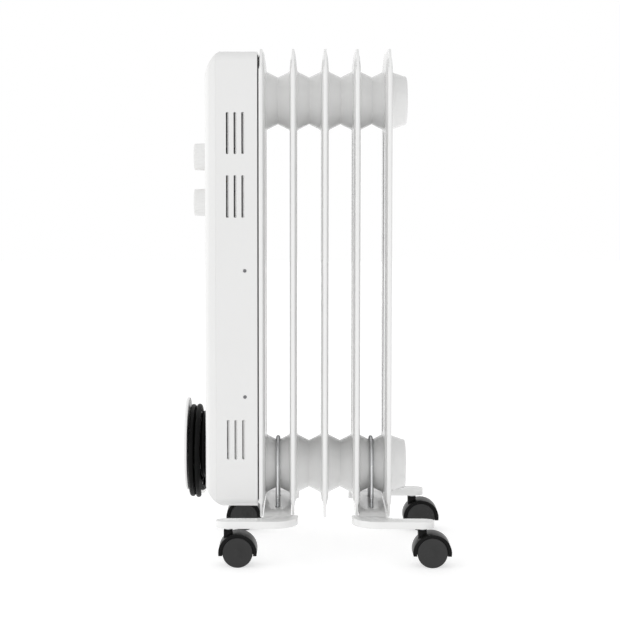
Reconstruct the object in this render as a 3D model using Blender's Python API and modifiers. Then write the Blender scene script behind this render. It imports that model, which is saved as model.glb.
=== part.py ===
"""Oil filled radiator heater: five fins, control housing, stored mains lead, castor feet.

Frame: metres, +Z up, origin on the floor under the middle of the heater without its lead.
X runs along the row of fins, from the control housing (-X) to the closed end (+X).
"""
import math

import bmesh
import bpy
from mathutils import Matrix, Vector

# ---------------------------------------------------------------- driving dimensions
GAP = 0.0003                 # clearance between faces that touch on the real heater
SHEET = 0.0012               # steel sheet of the housing and its back plate
FIN_SHEET = 0.0008           # steel sheet of the fins
STEPS = 20                   # facets round a turned piece

# fins
FIN_COUNT = 5
FIN_PITCH = 0.040
FIN_ROW_X = 0.01125          # middle fin; puts the origin under the middle of the heater
FIN_DEPTH = 0.150            # along Y
FIN_LOW = 0.050
FIN_HIGH = 0.640
FIN_CORNER = 0.025
SEAM = 0.0028                # welded rim, both sheets
HEM_THICK = 0.0056           # folded side edge
HEM_WIDE = 0.0062
HEM_SHORT = 0.0215           # the hem stops this far from the ends
CHANNEL_THICK = 0.0090       # oil channels
CHANNEL_WIDE = 0.112
CHANNEL_SHORT = 0.016
WEB_WIDE = 0.016             # flat web between the two channels
WEB_SHORT = 0.090

# collars that join the fins: a cone on each side, narrowest half way between two fins
COLLAR_Z = (0.1090, 0.5775)
COLLAR_BASE_R = 0.0375
COLLAR_WAIST_R = 0.0300
COLLAR_WALL = 0.0025
GALLERY_R = 0.0200
END_CAP_REACH = 0.0245       # from the last fin's middle plane
END_CAP_R = 0.0315
NECK_R = 0.0225              # necks on the first fin, inside the housing
NECK_REACH = 0.0190
NECK_BORE_R = 0.0185

# control housing
HOUSING_TO_MIDDLE_FIN = 0.1497
HOUSING_LONG = 0.0648        # along X, front panel included
HOUSING_WIDE = 0.144         # along Y
HOUSING_LOW = 0.0665
HOUSING_HIGH = 0.6360
PANEL_DEEP = 0.0132
PANEL_WALL = 0.0022
PANEL_EDGE_R = 0.0065
TOP_CORNER = (0.0190, 0.0300)
BOTTOM_CORNER = (0.0230, 0.0270)
CORNER_POWER = 1.40          # 1 gives an elliptic corner, 2 a flat one
LONG_EDGE_R = 0.0120         # edges along X
BACK_PLATE_SET = 0.0140      # from the first fin's middle plane to the plate's outer face
BACK_FLANGE = 0.012
VENT_NOTCH = (0.0072, 0.004)  # the flange is cut back behind the vents: depth, spare length

VENT_WIDE = 0.0038
VENT_FROM_FRONT = (0.0288, 0.0383, 0.0479)
VENT_BANDS = ((0.509, 0.561), (0.430, 0.483), (0.127, 0.177))
SIDE_SCREW_Z = (0.206, 0.364)
SIDE_SCREW_FROM_BACK = 0.0152

# controls
KNOB_Z = {"thermostat": 0.5059, "selector": 0.4474}
KNOB_R = 0.0178
KNOB_PROUD = 0.0180
SHAFT_R = 0.0030
CONTROL_PLATE_BACK = 0.016   # behind the housing's front face
LAMP_Z = 0.4767
LAMP_R = 0.0035

# lead and its wrap
LEAD_R = 0.0035
WRAP_Z = 0.1350
WRAP_HUB_R = 0.0330
WRAP_FLANGE_R = 0.0595
WRAP_FLANGE_THICK = 0.0040
WRAP_REACH = 0.0284
COIL_Z = 0.1255
COIL_INNER_R = 0.0430
COIL_OUTER_R = 0.0608
COIL_CLEAR = 0.0006          # coil to the panel and to the flange
GLAND_Y = 0.0100             # the gland lies below the wrap's hub, inside the coil
GLAND_Z = 0.0950
PLUG_Y = 0.071
PLUG_FACE_Z = 0.070
PLUG_LONG = 0.034

# feet
BRACKET_TOP = 0.0565
SADDLE_TOP = 0.0590
BRACKET_LOW = 0.0477
BRACKET_WALL = 0.0020
SADDLE_HALF = 0.0170
BRACKET_OUTER = 0.0265       # from the gap's middle to the outside of the bend
BEND_R = 0.032
ARM_Y = 0.098
ARM_HALF = 0.0100
ARM_END = 0.0150             # from the castor's stem to the arm's round end
STEM_OFFSET = 0.0601         # from the gap's middle to the castor's stem
FLARE_Y = 0.0705             # the bracket may pass under the fins' round corners from here
U_BOLT_ROD_R = 0.0026
U_BOLT_LOW = 0.0470

# castors
WHEEL_R = 0.0187
WHEEL_THICK = 0.0095
WHEEL_INNER_FACE = 0.0052
HOOD_R = 0.0238              # along X
HOOD_RISE = 0.0228           # above the axle
HOOD_WALL = 0.0045
HOOD_HALF = 0.0150
TRAIL = 0.0120
AXLE_R = 0.0025
STEM_R = 0.0048
STEM_BLOCK = 0.0108          # square block that carries the stem

# ---------------------------------------------------------------- derived positions
FIN_X = [FIN_ROW_X + FIN_PITCH * (i - (FIN_COUNT - 1) / 2) for i in range(FIN_COUNT)]
HOUSING_FRONT = FIN_ROW_X - HOUSING_TO_MIDDLE_FIN
HOUSING_BACK = HOUSING_FRONT + HOUSING_LONG
HOUSING_HALF = HOUSING_WIDE / 2
PANEL_BACK = HOUSING_FRONT + PANEL_DEEP
BACK_PLATE_X = FIN_X[0] - BACK_PLATE_SET
FRONT_GAP_X = (FIN_X[0] + FIN_X[1]) / 2
REAR_GAP_X = (FIN_X[-2] + FIN_X[-1]) / 2

# axes of a flat outline (u, v) and of its thickness, as columns of a rotation
ALONG_X = Matrix(((0, 0, 1), (1, 0, 0), (0, 1, 0))).to_4x4()    # u is Y, v is Z
ALONG_Y = Matrix(((1, 0, 0), (0, 0, -1), (0, 1, 0))).to_4x4()   # u is X, v is Z
ALONG_Z = Matrix.Identity(4)                                    # u is X, v is Y


# ---------------------------------------------------------------- scene and materials
def clear_scene():
    for obj in list(bpy.data.objects):
        bpy.data.objects.remove(obj, do_unlink=True)


def new_collection(name):
    collection = bpy.data.collections.new(name)
    bpy.context.scene.collection.children.link(collection)
    return collection


def material(name, colour, roughness, metallic=0.0):
    made = bpy.data.materials.new(name)
    made.use_nodes = True
    shader = made.node_tree.nodes["Principled BSDF"]
    shader.inputs["Base Color"].default_value = (*colour, 1.0)
    shader.inputs["Roughness"].default_value = roughness
    shader.inputs["Metallic"].default_value = metallic
    made.diffuse_color = (*colour, 1.0)
    return made


clear_scene()
HEATER = new_collection("oil_filled_radiator_heater")
CUTTERS = new_collection("cutters")

WHITE_ENAMEL = material("white_enamel", (0.86, 0.86, 0.85), 0.35)
WHITE_PLASTIC = material("white_plastic", (0.84, 0.84, 0.83), 0.45)
BLACK_PLASTIC = material("black_plastic", (0.03, 0.03, 0.03), 0.45)
BLACK_PVC = material("black_pvc", (0.02, 0.02, 0.02), 0.5)
CHROME = material("chrome", (0.80, 0.80, 0.80), 0.15, 1.0)
STEEL = material("steel", (0.55, 0.55, 0.55), 0.35, 1.0)
RUBBER = material("rubber", (0.05, 0.05, 0.05), 0.8)
LENS = material("amber_lens", (0.85, 0.35, 0.08), 0.2)


# ---------------------------------------------------------------- outlines
def arc(cx, cy, rx, ry, start, end, steps):
    """Points of an elliptic arc, angles in degrees."""
    points = []
    for i in range(steps + 1):
        angle = math.radians(start + (end - start) * i / steps)
        points.append((cx + rx * math.cos(angle), cy + ry * math.sin(angle)))
    return points


def circle(radius, steps=STEPS, cx=0.0, cy=0.0):
    return arc(cx, cy, radius, radius, 0, 360, steps)[:-1]


def flat_corner(cx, cy, rx, ry, start, end, steps):
    """Points of a corner that is flatter in its middle than an elliptic arc."""
    points = []
    for u, v in arc(0.0, 0.0, 1.0, 1.0, start, end, steps):
        points.append((cx + rx * math.copysign(abs(u) ** CORNER_POWER, u),
                       cy + ry * math.copysign(abs(v) ** CORNER_POWER, v)))
    return points


def rounded_box(wide, high, radius, cx=0.0, cy=0.0, steps=3):
    """A rectangle with round corners, anticlockwise."""
    a, b = wide / 2 - radius, high / 2 - radius
    points = []
    for sx, sy, start in ((1, 1, 0), (-1, 1, 90), (-1, -1, 180), (1, -1, 270)):
        points += arc(cx + sx * a, cy + sy * b, radius, radius, start, start + 90, steps)
    return points


# ---------------------------------------------------------------- shape helpers
def new_object(name, mesh, finish=None, cutter=False):
    obj = bpy.data.objects.new(name, mesh)
    if cutter:
        CUTTERS.objects.link(obj)
        obj.hide_render = True
        obj.display_type = "WIRE"
    else:
        HEATER.objects.link(obj)
        obj.data.materials.append(finish)
    return obj


def evaluated_mesh(obj):
    """The object's mesh with its modifiers, in world space and welded."""
    graph = bpy.context.evaluated_depsgraph_get()
    mesh = bpy.data.meshes.new_from_object(obj.evaluated_get(graph))
    mesh.transform(obj.matrix_world)
    bm = bmesh.new()
    bm.from_mesh(mesh)
    bmesh.ops.remove_doubles(bm, verts=bm.verts, dist=1e-6)
    bm.to_mesh(mesh)
    bm.free()
    return mesh


def take_mesh(obj):
    """Removes a helper object and hands back its evaluated mesh."""
    bpy.context.view_layer.update()
    mesh = evaluated_mesh(obj)
    bpy.data.objects.remove(obj, do_unlink=True)
    mesh.materials.clear()
    return mesh


def faced_out(mesh):
    bm = bmesh.new()
    bm.from_mesh(mesh)
    bmesh.ops.recalc_face_normals(bm, faces=bm.faces)
    bm.to_mesh(mesh)
    bm.free()
    return mesh


def slab(outlines, low, high, axes=ALONG_Z):
    """A flat outline, with any holes, made solid from low to high along its third axis."""
    curve = bpy.data.curves.new("outline", "CURVE")
    curve.dimensions = "2D"
    curve.fill_mode = "BOTH"
    curve.extrude = (high - low) / 2
    for outline in outlines:
        spline = curve.splines.new("POLY")
        spline.points.add(len(outline) - 1)
        for point, (u, v) in zip(spline.points, outline):
            point.co = (u, v, 0.0, 1.0)
        spline.use_cyclic_u = True
    obj = bpy.data.objects.new("outline", curve)
    CUTTERS.objects.link(obj)
    obj.matrix_world = axes @ Matrix.Translation((0, 0, (low + high) / 2))
    return take_mesh(obj)


def box(x0, x1, y0, y1, z0, z1):
    bm = bmesh.new()
    bmesh.ops.create_cube(bm, size=1.0)
    size = Matrix.Diagonal((x1 - x0, y1 - y0, z1 - z0, 1.0))
    place = Matrix.Translation(((x0 + x1) / 2, (y0 + y1) / 2, (z0 + z1) / 2))
    bmesh.ops.transform(bm, matrix=place @ size, verts=bm.verts)
    mesh = bpy.data.meshes.new("box")
    bm.to_mesh(mesh)
    bm.free()
    return mesh


def rod(start, end, radius, end_radius=None, steps=STEPS):
    """A cylinder or a cone from start to end."""
    start, end = Vector(start), Vector(end)
    run = end - start
    bm = bmesh.new()
    bmesh.ops.create_cone(bm, cap_ends=True, cap_tris=False, segments=steps, radius1=radius,
                          radius2=radius if end_radius is None else end_radius, depth=run.length)
    turn = Vector((0, 0, 1)).rotation_difference(run).to_matrix().to_4x4()
    bmesh.ops.transform(bm, matrix=Matrix.Translation((start + end) / 2) @ turn, verts=bm.verts)
    mesh = bpy.data.meshes.new("rod")
    bm.to_mesh(mesh)
    bm.free()
    return mesh


def turned(profile, base, axis, steps=STEPS, closed=True):
    """A profile of (radius, height) points, down its outer side, turned about an axis."""
    mesh = bpy.data.meshes.new("profile")
    verts = [(radius, 0.0, height) for radius, height in profile]
    edges = [(i, i + 1) for i in range(len(verts) - 1)]
    if closed:
        edges.append((len(verts) - 1, 0))
    mesh.from_pydata(verts, edges, [])
    obj = bpy.data.objects.new("profile", mesh)
    CUTTERS.objects.link(obj)
    screw = obj.modifiers.new("turn", "SCREW")
    screw.axis = "Z"
    screw.angle = math.tau
    screw.steps = steps
    screw.render_steps = steps
    screw.use_merge_vertices = True
    screw.merge_threshold = 0.00001
    turn = Vector((0, 0, 1)).rotation_difference(Vector(axis)).to_matrix().to_4x4()
    obj.matrix_world = Matrix.Translation(base) @ turn
    return faced_out(take_mesh(obj))


def tube(points, radius, resolution=2):
    """A round bar along a smooth list of points."""
    curve = bpy.data.curves.new("route", "CURVE")
    curve.dimensions = "3D"
    curve.bevel_depth = radius
    curve.bevel_resolution = resolution
    curve.use_fill_caps = True
    spline = curve.splines.new("POLY")
    spline.points.add(len(points) - 1)
    for point, place in zip(spline.points, points):
        point.co = (*place, 1.0)
    obj = bpy.data.objects.new("route", curve)
    CUTTERS.objects.link(obj)
    return take_mesh(obj)


def together(meshes):
    """Several meshes that don't touch, as one cutter."""
    bm = bmesh.new()
    for mesh in meshes:
        bm.from_mesh(mesh)
    mesh = bpy.data.meshes.new("together")
    bm.to_mesh(mesh)
    bm.free()
    return mesh


def combine(base, others, operation):
    """A Boolean of a mesh with a list of others, applied one after another."""
    obj = new_object("base", base, cutter=True)
    tools = []
    for i, other in enumerate(others):
        tool = new_object(f"tool_{i}", other, cutter=True)
        modifier = obj.modifiers.new(f"{operation.lower()}_{i}", "BOOLEAN")
        modifier.operation = operation
        modifier.solver = "EXACT"
        modifier.object = tool
        tools.append(tool)
    mesh = take_mesh(obj)
    for tool in tools:
        bpy.data.objects.remove(tool, do_unlink=True)
    return mesh


def union(base, *others):
    return combine(base, others, "UNION")


def cut(base, *others):
    return combine(base, others, "DIFFERENCE")


def common(base, *others):
    return combine(base, others, "INTERSECT")


def moved(mesh, x=0.0, y=0.0, z=0.0):
    copy = mesh.copy()
    copy.transform(Matrix.Translation((x, y, z)))
    return copy


def mirrored(mesh, axis):
    """A copy mirrored through the plane where the given axis is zero."""
    copy = mesh.copy()
    scale = [1.0, 1.0, 1.0]
    scale[axis] = -1.0
    copy.transform(Matrix.Diagonal((*scale, 1.0)))
    copy.flip_normals()
    return copy


def part(name, mesh, finish, pivot=None, angle=30):
    """A named sub-part, with its origin on its joint's axis where it moves."""
    if pivot is not None:
        mesh.transform(Matrix.Translation(-Vector(pivot)))
    mesh.shade_smooth()
    mesh.set_sharp_from_angle(angle=math.radians(angle))
    obj = new_object(name, mesh, finish)
    if pivot is not None:
        obj.location = pivot
    return obj


# ---------------------------------------------------------------- radiator
def fin_blank():
    """One pressed fin at X = 0 without its collars: rim, hems and the two oil channels."""
    middle = (FIN_LOW + FIN_HIGH) / 2
    high = FIN_HIGH - FIN_LOW
    rim = slab([rounded_box(FIN_DEPTH, high, FIN_CORNER, 0, middle)], -SEAM / 2, SEAM / 2, ALONG_X)
    hem_y = FIN_DEPTH / 2 - HEM_WIDE / 2
    hem_high = high - 2 * HEM_SHORT
    hems = []
    for side in (-1, 1):
        outline = rounded_box(HEM_WIDE, hem_high, 0.002, side * hem_y, middle, 1)
        hems.append(slab([outline], -HEM_THICK / 2, HEM_THICK / 2, ALONG_X))
    channel_high = high - 2 * CHANNEL_SHORT
    web_high = high - 2 * WEB_SHORT
    outlines = [rounded_box(CHANNEL_WIDE, channel_high, 0.020, 0, middle),
                rounded_box(WEB_WIDE, web_high, 0.007, 0, middle, 2)]
    channels = slab(outlines, -CHANNEL_THICK / 2, CHANNEL_THICK / 2, ALONG_X)
    return union(rim, *hems, channels)


def fin_cavity():
    """The oil space inside one fin."""
    middle = (FIN_LOW + FIN_HIGH) / 2
    high = FIN_HIGH - FIN_LOW
    wide = CHANNEL_WIDE - 2 * FIN_SHEET
    outlines = [rounded_box(wide, high - 2 * CHANNEL_SHORT - 2 * FIN_SHEET, 0.019, 0, middle),
                rounded_box(WEB_WIDE + 2 * FIN_SHEET, high - 2 * WEB_SHORT + 2 * FIN_SHEET, 0.008, 0, middle, 2)]
    half = CHANNEL_THICK / 2 - FIN_SHEET
    return slab(outlines, -half, half, ALONG_X)


def fin(left, right):
    """A fin at X = 0 with a cone, a neck or nothing on each side of it."""
    bodies, bores = [], []
    reach = {"cone": FIN_PITCH / 2 - GAP / 2, "neck": NECK_REACH, "plain": CHANNEL_THICK / 2}
    past = 0.001
    for z in COLLAR_Z:
        for side, kind in ((-1, left), (1, right)):
            start, end = (-side * past, 0, z), (side * reach[kind], 0, z)
            if kind == "cone":
                bodies.append(rod(start, end, COLLAR_BASE_R + 0.0024, COLLAR_WAIST_R))
            if kind == "neck":
                bodies.append(rod(start, end, NECK_R))
            mouth = (end[0] + side * past, 0, z)
            if kind == "cone":
                bores.append(rod(start, mouth, COLLAR_BASE_R + 0.0024 - COLLAR_WALL, COLLAR_WAIST_R - COLLAR_WALL))
            else:
                bores.append(rod(start, mouth, NECK_BORE_R if kind == "neck" else GALLERY_R))
    return cut(union(fin_blank(), *bodies), *bores, fin_cavity())


def build_fins():
    shapes = {"first": fin("neck", "cone"), "middle": fin("cone", "cone"), "last": fin("cone", "plain")}
    for i, x in enumerate(FIN_X):
        kind = "first" if i == 0 else "last" if i == FIN_COUNT - 1 else "middle"
        part(f"fin_{i + 1}", moved(shapes[kind], x), WHITE_ENAMEL)


def build_end_caps():
    """Pressed cups that close the two galleries on the last fin."""
    foot = CHANNEL_THICK / 2 + GAP
    top = END_CAP_REACH
    profile = [(0.0, top), (END_CAP_R - 0.0030, top), (END_CAP_R, top - 0.0025),
               (COLLAR_BASE_R, foot), (COLLAR_BASE_R - 0.0030, foot),
               (END_CAP_R - 0.0030, top - 0.0040), (0.0, top - 0.0015)]
    for name, z in zip(("end_cap_lower", "end_cap_upper"), COLLAR_Z):
        part(name, turned(profile, (FIN_X[-1], 0, z), (1, 0, 0), closed=False), WHITE_ENAMEL)


def build_gallery_fittings():
    """Heating element with its flange and gasket below, oil filler plug above."""
    low, high = COLLAR_Z
    face = FIN_X[0] - NECK_REACH
    gasket = turned([(NECK_R, 0.0015), (NECK_R, 0.0), (NECK_BORE_R, 0.0), (NECK_BORE_R, 0.0015)],
                    (face - GAP, 0, low), (-1, 0, 0))
    part("element_gasket", gasket, RUBBER)
    leg = 0.0085
    rod_r = 0.0040
    inner = FIN_X[-1]
    outer = face - 0.020
    hairpin = [(outer, 0, low + leg), (FIN_X[0], 0, low + leg), (inner, 0, low + leg)]
    for i in range(1, 8):
        turn = math.radians(90 - 180 * i / 8)
        hairpin.append((inner + leg * math.cos(turn), 0, low + leg * math.sin(turn)))
    hairpin += [(inner, 0, low - leg), (FIN_X[0], 0, low - leg), (outer, 0, low - leg)]
    part("heating_element", tube(hairpin, rod_r), STEEL)
    start = face - 2 * GAP - 0.0015
    flange = rod((start, 0, low), (start - 0.006, 0, low), NECK_R + 0.002, steps=6)
    holes = [rod((start + 0.001, 0, low + s * leg), (start - 0.007, 0, low + s * leg), rod_r + GAP, steps=12)
             for s in (-1, 1)]
    part("element_flange", cut(flange, *holes), STEEL)
    plug = union(rod((face - GAP, 0, high), (face - 0.005, 0, high), NECK_R, steps=STEPS),
                 rod((face - 0.004, 0, high), (face - 0.011, 0, high), 0.011, steps=6),
                 rod((face + 0.006, 0, high), (face - 0.001, 0, high), NECK_BORE_R - GAP, steps=STEPS))
    part("oil_filler_plug", plug, STEEL)


# ---------------------------------------------------------------- control housing
def housing_block(inset):
    """The housing's outer form, or its inside, open at the back, when inset by a wall."""
    x0, x1 = HOUSING_FRONT + inset, HOUSING_BACK + 2 * inset
    z0, z1 = HOUSING_LOW + inset, HOUSING_HIGH - inset
    half = HOUSING_HALF - inset
    (ta, tb), (ba, bb) = TOP_CORNER, BOTTOM_CORNER
    ta, tb, ba, bb = ta - inset, tb - inset, ba - inset, bb - inset
    side = ([(x1, z0), (x1, z1)] + flat_corner(x0 + ta, z1 - tb, ta, tb, 90, 180, 6)
            + flat_corner(x0 + ba, z0 + bb, ba, bb, 180, 270, 6))
    edge = PANEL_EDGE_R - inset
    plan = ([(x1, -half), (x1, half)] + arc(x0 + edge, half - edge, edge, edge, 90, 180, 4)
            + arc(x0 + edge, -half + edge, edge, edge, 180, 270, 4))
    section = rounded_box(2 * half, z1 - z0, LONG_EDGE_R - inset, 0, (z0 + z1) / 2, 4)
    spare = 0.01
    return common(slab([side], -half - spare, half + spare, ALONG_Y),
                  slab([plan], z0 - spare, z1 + spare, ALONG_Z),
                  slab([section], x0 - spare, x1 + spare, ALONG_X))


def vent_slots():
    """All the vent slots of one side, long enough to cut both side walls."""
    slots = []
    for low, high in VENT_BANDS:
        for offset in VENT_FROM_FRONT:
            x = HOUSING_FRONT + offset
            outline = rounded_box(VENT_WIDE, high - low, VENT_WIDE / 2 - 0.00001, x, (low + high) / 2, 2)
            slots.append(slab([outline], -HOUSING_HALF - 0.01, HOUSING_HALF + 0.01, ALONG_Y))
    return slots


def side_screw_places():
    x = HOUSING_BACK - SIDE_SCREW_FROM_BACK
    return [(x, side * HOUSING_HALF, z) for side in (-1, 1) for z in SIDE_SCREW_Z]


def build_housing():
    far = 0.05
    shell = cut(housing_block(0.0), housing_block(SHEET),
                box(HOUSING_FRONT - far, PANEL_BACK, -far * 2, far * 2, 0.0, 1.0))
    screw_holes = [rod((x, y - 0.005, z), (x, y + 0.005, z), 0.0021, steps=10)
                   for x, y, z in side_screw_places()]
    part("housing_shell", cut(shell, together(vent_slots() + screw_holes)), WHITE_ENAMEL)

    panel = cut(housing_block(0.0), housing_block(PANEL_WALL),
                box(PANEL_BACK - GAP, HOUSING_BACK + far, -far * 2, far * 2, 0.0, 1.0))
    through = [rod((HOUSING_FRONT - 0.01, 0, z), (PANEL_BACK, 0, z), SHAFT_R + 0.0008, steps=16)
               for z in KNOB_Z.values()]
    lamp = rod((HOUSING_FRONT - 0.01, 0, LAMP_Z), (PANEL_BACK, 0, LAMP_Z), LAMP_R + GAP, steps=16)
    gland = rod((HOUSING_FRONT - 0.01, GLAND_Y, GLAND_Z), (PANEL_BACK, GLAND_Y, GLAND_Z), 0.0052, steps=16)
    part("front_panel", cut(panel, together(through + [lamp, gland])), WHITE_PLASTIC)

    half = HOUSING_HALF - SHEET - GAP
    wide, high = 2 * half, HOUSING_HIGH - HOUSING_LOW - 2 * (SHEET + GAP)
    middle = (HOUSING_LOW + HOUSING_HIGH) / 2
    round_r = LONG_EDGE_R - SHEET - GAP
    x1 = BACK_PLATE_X
    x0 = x1 - BACK_FLANGE
    hollow = rounded_box(wide - 2 * SHEET, high - 2 * SHEET, round_r - SHEET, 0, middle, 4)
    tray = cut(slab([rounded_box(wide, high, round_r, 0, middle, 4)], x0, x1, ALONG_X),
               slab([hollow], x0 - 0.001, x1 - SHEET, ALONG_X))
    necks = [rod((x1 + 0.001, 0, z), (x1 - SHEET - 0.001, 0, z), NECK_R + 0.0006) for z in COLLAR_Z]
    holes = [rod((x, y - 0.005, z), (x, y + 0.005, z), 0.0017, steps=10)
             for x, y, z in side_screw_places()]
    deep, spare = VENT_NOTCH
    notches = [box(x0 - 0.001, x0 + deep, -half - 0.001, half + 0.001, bottom - spare, top + spare)
               for bottom, top in VENT_BANDS]
    part("housing_back_plate", cut(tray, together(necks + holes + notches)), WHITE_ENAMEL)

    screw = turned([(0.0, 0.0013), (0.0019, 0.0013), (0.0019, 0.0), (0.0014, 0.0), (0.0014, -0.006),
                    (0.0, -0.006)], (0, 0, 0), (0, 0, 1), steps=12, closed=False)
    for i, (x, y, z) in enumerate(side_screw_places()):
        side = 1 if y > 0 else -1
        mesh = screw.copy()
        mesh.transform(Matrix.Translation((x, y - side * 0.0012, z))
                       @ Matrix.Rotation(-side * math.pi / 2, 4, "X"))
        part(f"side_screw_{i + 1}", mesh, STEEL)


# ---------------------------------------------------------------- controls
def build_controls():
    """Thermostat and heat selector on their plate, with shafts, knobs and the lamp."""
    plate_x = HOUSING_FRONT + CONTROL_PLATE_BACK
    plate = slab([rounded_box(0.070, 0.116, 0.004, 0, LAMP_Z)]
                 + [circle(SHAFT_R + 0.0008, 12, 0, z) for z in KNOB_Z.values()]
                 + [circle(LAMP_R + GAP, 12, 0, LAMP_Z)], plate_x, plate_x + SHEET, ALONG_X)
    part("control_plate", plate, STEEL)
    sizes = {"thermostat": (0.034, 0.024, 0.020), "selector": (0.030, 0.030, 0.022)}
    shaft_in = 0.006
    for kind, z in KNOB_Z.items():
        wide, high, deep = sizes[kind]
        body_x = plate_x + SHEET + GAP
        body = cut(box(body_x, body_x + deep, -wide / 2, wide / 2, z - high / 2, z + high / 2),
                   rod((body_x - 0.001, 0, z), (body_x + shaft_in, 0, z), SHAFT_R + GAP, steps=12))
        part("thermostat_body" if kind == "thermostat" else "selector_switch", body, BLACK_PLASTIC)
        face = HOUSING_FRONT - KNOB_PROUD
        skirt = HOUSING_FRONT - 0.0006
        shaft_end = face + 0.006
        shaft = rod((shaft_end, 0, z), (body_x + shaft_in - GAP, 0, z), SHAFT_R, steps=12)
        part(f"{kind}_shaft", shaft, STEEL, (HOUSING_FRONT, 0, z))
        deep_knob = skirt - face
        knob = turned([(0.0, deep_knob), (KNOB_R - 0.0028, deep_knob), (KNOB_R - 0.0010, deep_knob - 0.0010),
                       (KNOB_R - 0.0004, deep_knob - 0.0030), (KNOB_R, 0.0), (0.0, 0.0)],
                      (skirt, 0, z), (-1, 0, 0), closed=False)
        bore = rod((skirt + 0.001, 0, z), (shaft_end - GAP, 0, z), SHAFT_R + GAP, steps=12)
        pointer = box(face - 0.0008, face + 0.0008, -0.0008, 0.0008, z + 0.004, z + KNOB_R - 0.0035)
        part(f"{kind}_knob", cut(union(knob, pointer), bore), WHITE_PLASTIC, (HOUSING_FRONT, 0, z))
    lamp = union(rod((HOUSING_FRONT - 0.0012, 0, LAMP_Z), (plate_x + 0.010, 0, LAMP_Z), LAMP_R, steps=16),
                 rod((HOUSING_FRONT + 0.0054, 0, LAMP_Z), (HOUSING_FRONT + 0.0070, 0, LAMP_Z), LAMP_R + 0.0015,
                     steps=16))
    part("indicator_lamp", lamp, LENS)


def build_safety_parts():
    """Tip-over switch with its pendulum, thermal cut-out and terminal block."""
    x0, y0, z0 = HOUSING_FRONT + 0.026, -0.030, 0.090
    wide, deep, high = 0.016, 0.034, 0.040
    case = cut(box(x0, x0 + wide, y0 - deep / 2, y0 + deep / 2, z0, z0 + high),
               box(x0 + 0.003, x0 + wide - 0.003, y0 - deep / 2 + 0.003, y0 + deep / 2 - 0.003,
                   z0 + 0.002, z0 + high + 0.001))
    pivot = (x0 + wide / 2, y0, z0 + high - 0.006)
    pin_hole = rod((x0 - 0.001, pivot[1], pivot[2]), (x0 + wide + 0.001, pivot[1], pivot[2]), 0.0015, steps=10)
    part("tip_over_switch", cut(case, pin_hole), BLACK_PLASTIC)
    pin = rod((x0 + 0.0005, pivot[1], pivot[2]), (x0 + wide - 0.0005, pivot[1], pivot[2]), 0.0012, steps=10)
    arm = box(pivot[0] - 0.0015, pivot[0] + 0.0015, y0 - 0.0015, y0 + 0.0015, z0 + 0.012, pivot[2])
    bob = rod((pivot[0] - 0.004, y0, z0 + 0.011), (pivot[0] + 0.004, y0, z0 + 0.011), 0.0055, steps=16)
    part("tip_over_pendulum", union(pin, arm, bob), STEEL, pivot)

    cut_x = BACK_PLATE_X - SHEET - GAP
    body = union(rod((cut_x, 0, 0.330), (cut_x - 0.009, 0, 0.330), 0.008, steps=16),
                 box(cut_x - 0.016, cut_x - 0.008, -0.0060, -0.0035, 0.328, 0.332),
                 box(cut_x - 0.016, cut_x - 0.008, 0.0035, 0.0060, 0.328, 0.332))
    part("thermal_cutout", body, STEEL)

    block_x = cut_x - 0.014
    block = box(block_x, cut_x, -0.022, 0.022, 0.196, 0.210)
    bores = [rod((block_x + 0.005, y, 0.195), (block_x + 0.005, y, 0.211), 0.0018, steps=8)
             for y in (-0.014, 0.0, 0.014)]
    part("terminal_block", cut(block, *bores), WHITE_PLASTIC)


# ---------------------------------------------------------------- lead
def build_wrap():
    """Open spool on the front panel that the lead is wound on."""
    reach = WRAP_REACH
    base = 0.0020
    wall = 0.0020
    hub = WRAP_HUB_R
    mouth = reach - WRAP_FLANGE_THICK
    profile = [(hub - wall, reach), (WRAP_FLANGE_R - 0.0010, reach), (WRAP_FLANGE_R, reach - 0.0012),
               (WRAP_FLANGE_R, mouth), (hub, mouth), (hub, 0.0), (0.0, 0.0), (0.0, base), (hub - wall, base)]
    spool = turned(profile, (HOUSING_FRONT - GAP, 0, WRAP_Z), (-1, 0, 0), steps=28)
    part("cord_wrap", spool, WHITE_PLASTIC)


def coil_faces():
    """X of the coil's two flat sides: at the panel, and at the flange."""
    near = HOUSING_FRONT - COIL_CLEAR
    far = HOUSING_FRONT - GAP - WRAP_REACH + WRAP_FLANGE_THICK + COIL_CLEAR
    return near, far


def smooth_route(stations, count):
    """Points read at even steps along a Catmull-Rom curve through the stations."""
    places = [Vector(p) for p in stations]
    ends = [2 * places[0] - places[1]] + places + [2 * places[-1] - places[-2]]
    points = []
    for i in range(count + 1):
        t = (len(places) - 1) * i / count
        k = min(int(t), len(places) - 2)
        t -= k
        a, b, c, d = ends[k:k + 4]
        points.append(0.5 * ((2 * b) + (c - a) * t + (2 * a - 5 * b + 4 * c - d) * t * t
                             + (3 * b - a - 3 * c + d) * t * t * t))
    return points


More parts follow.
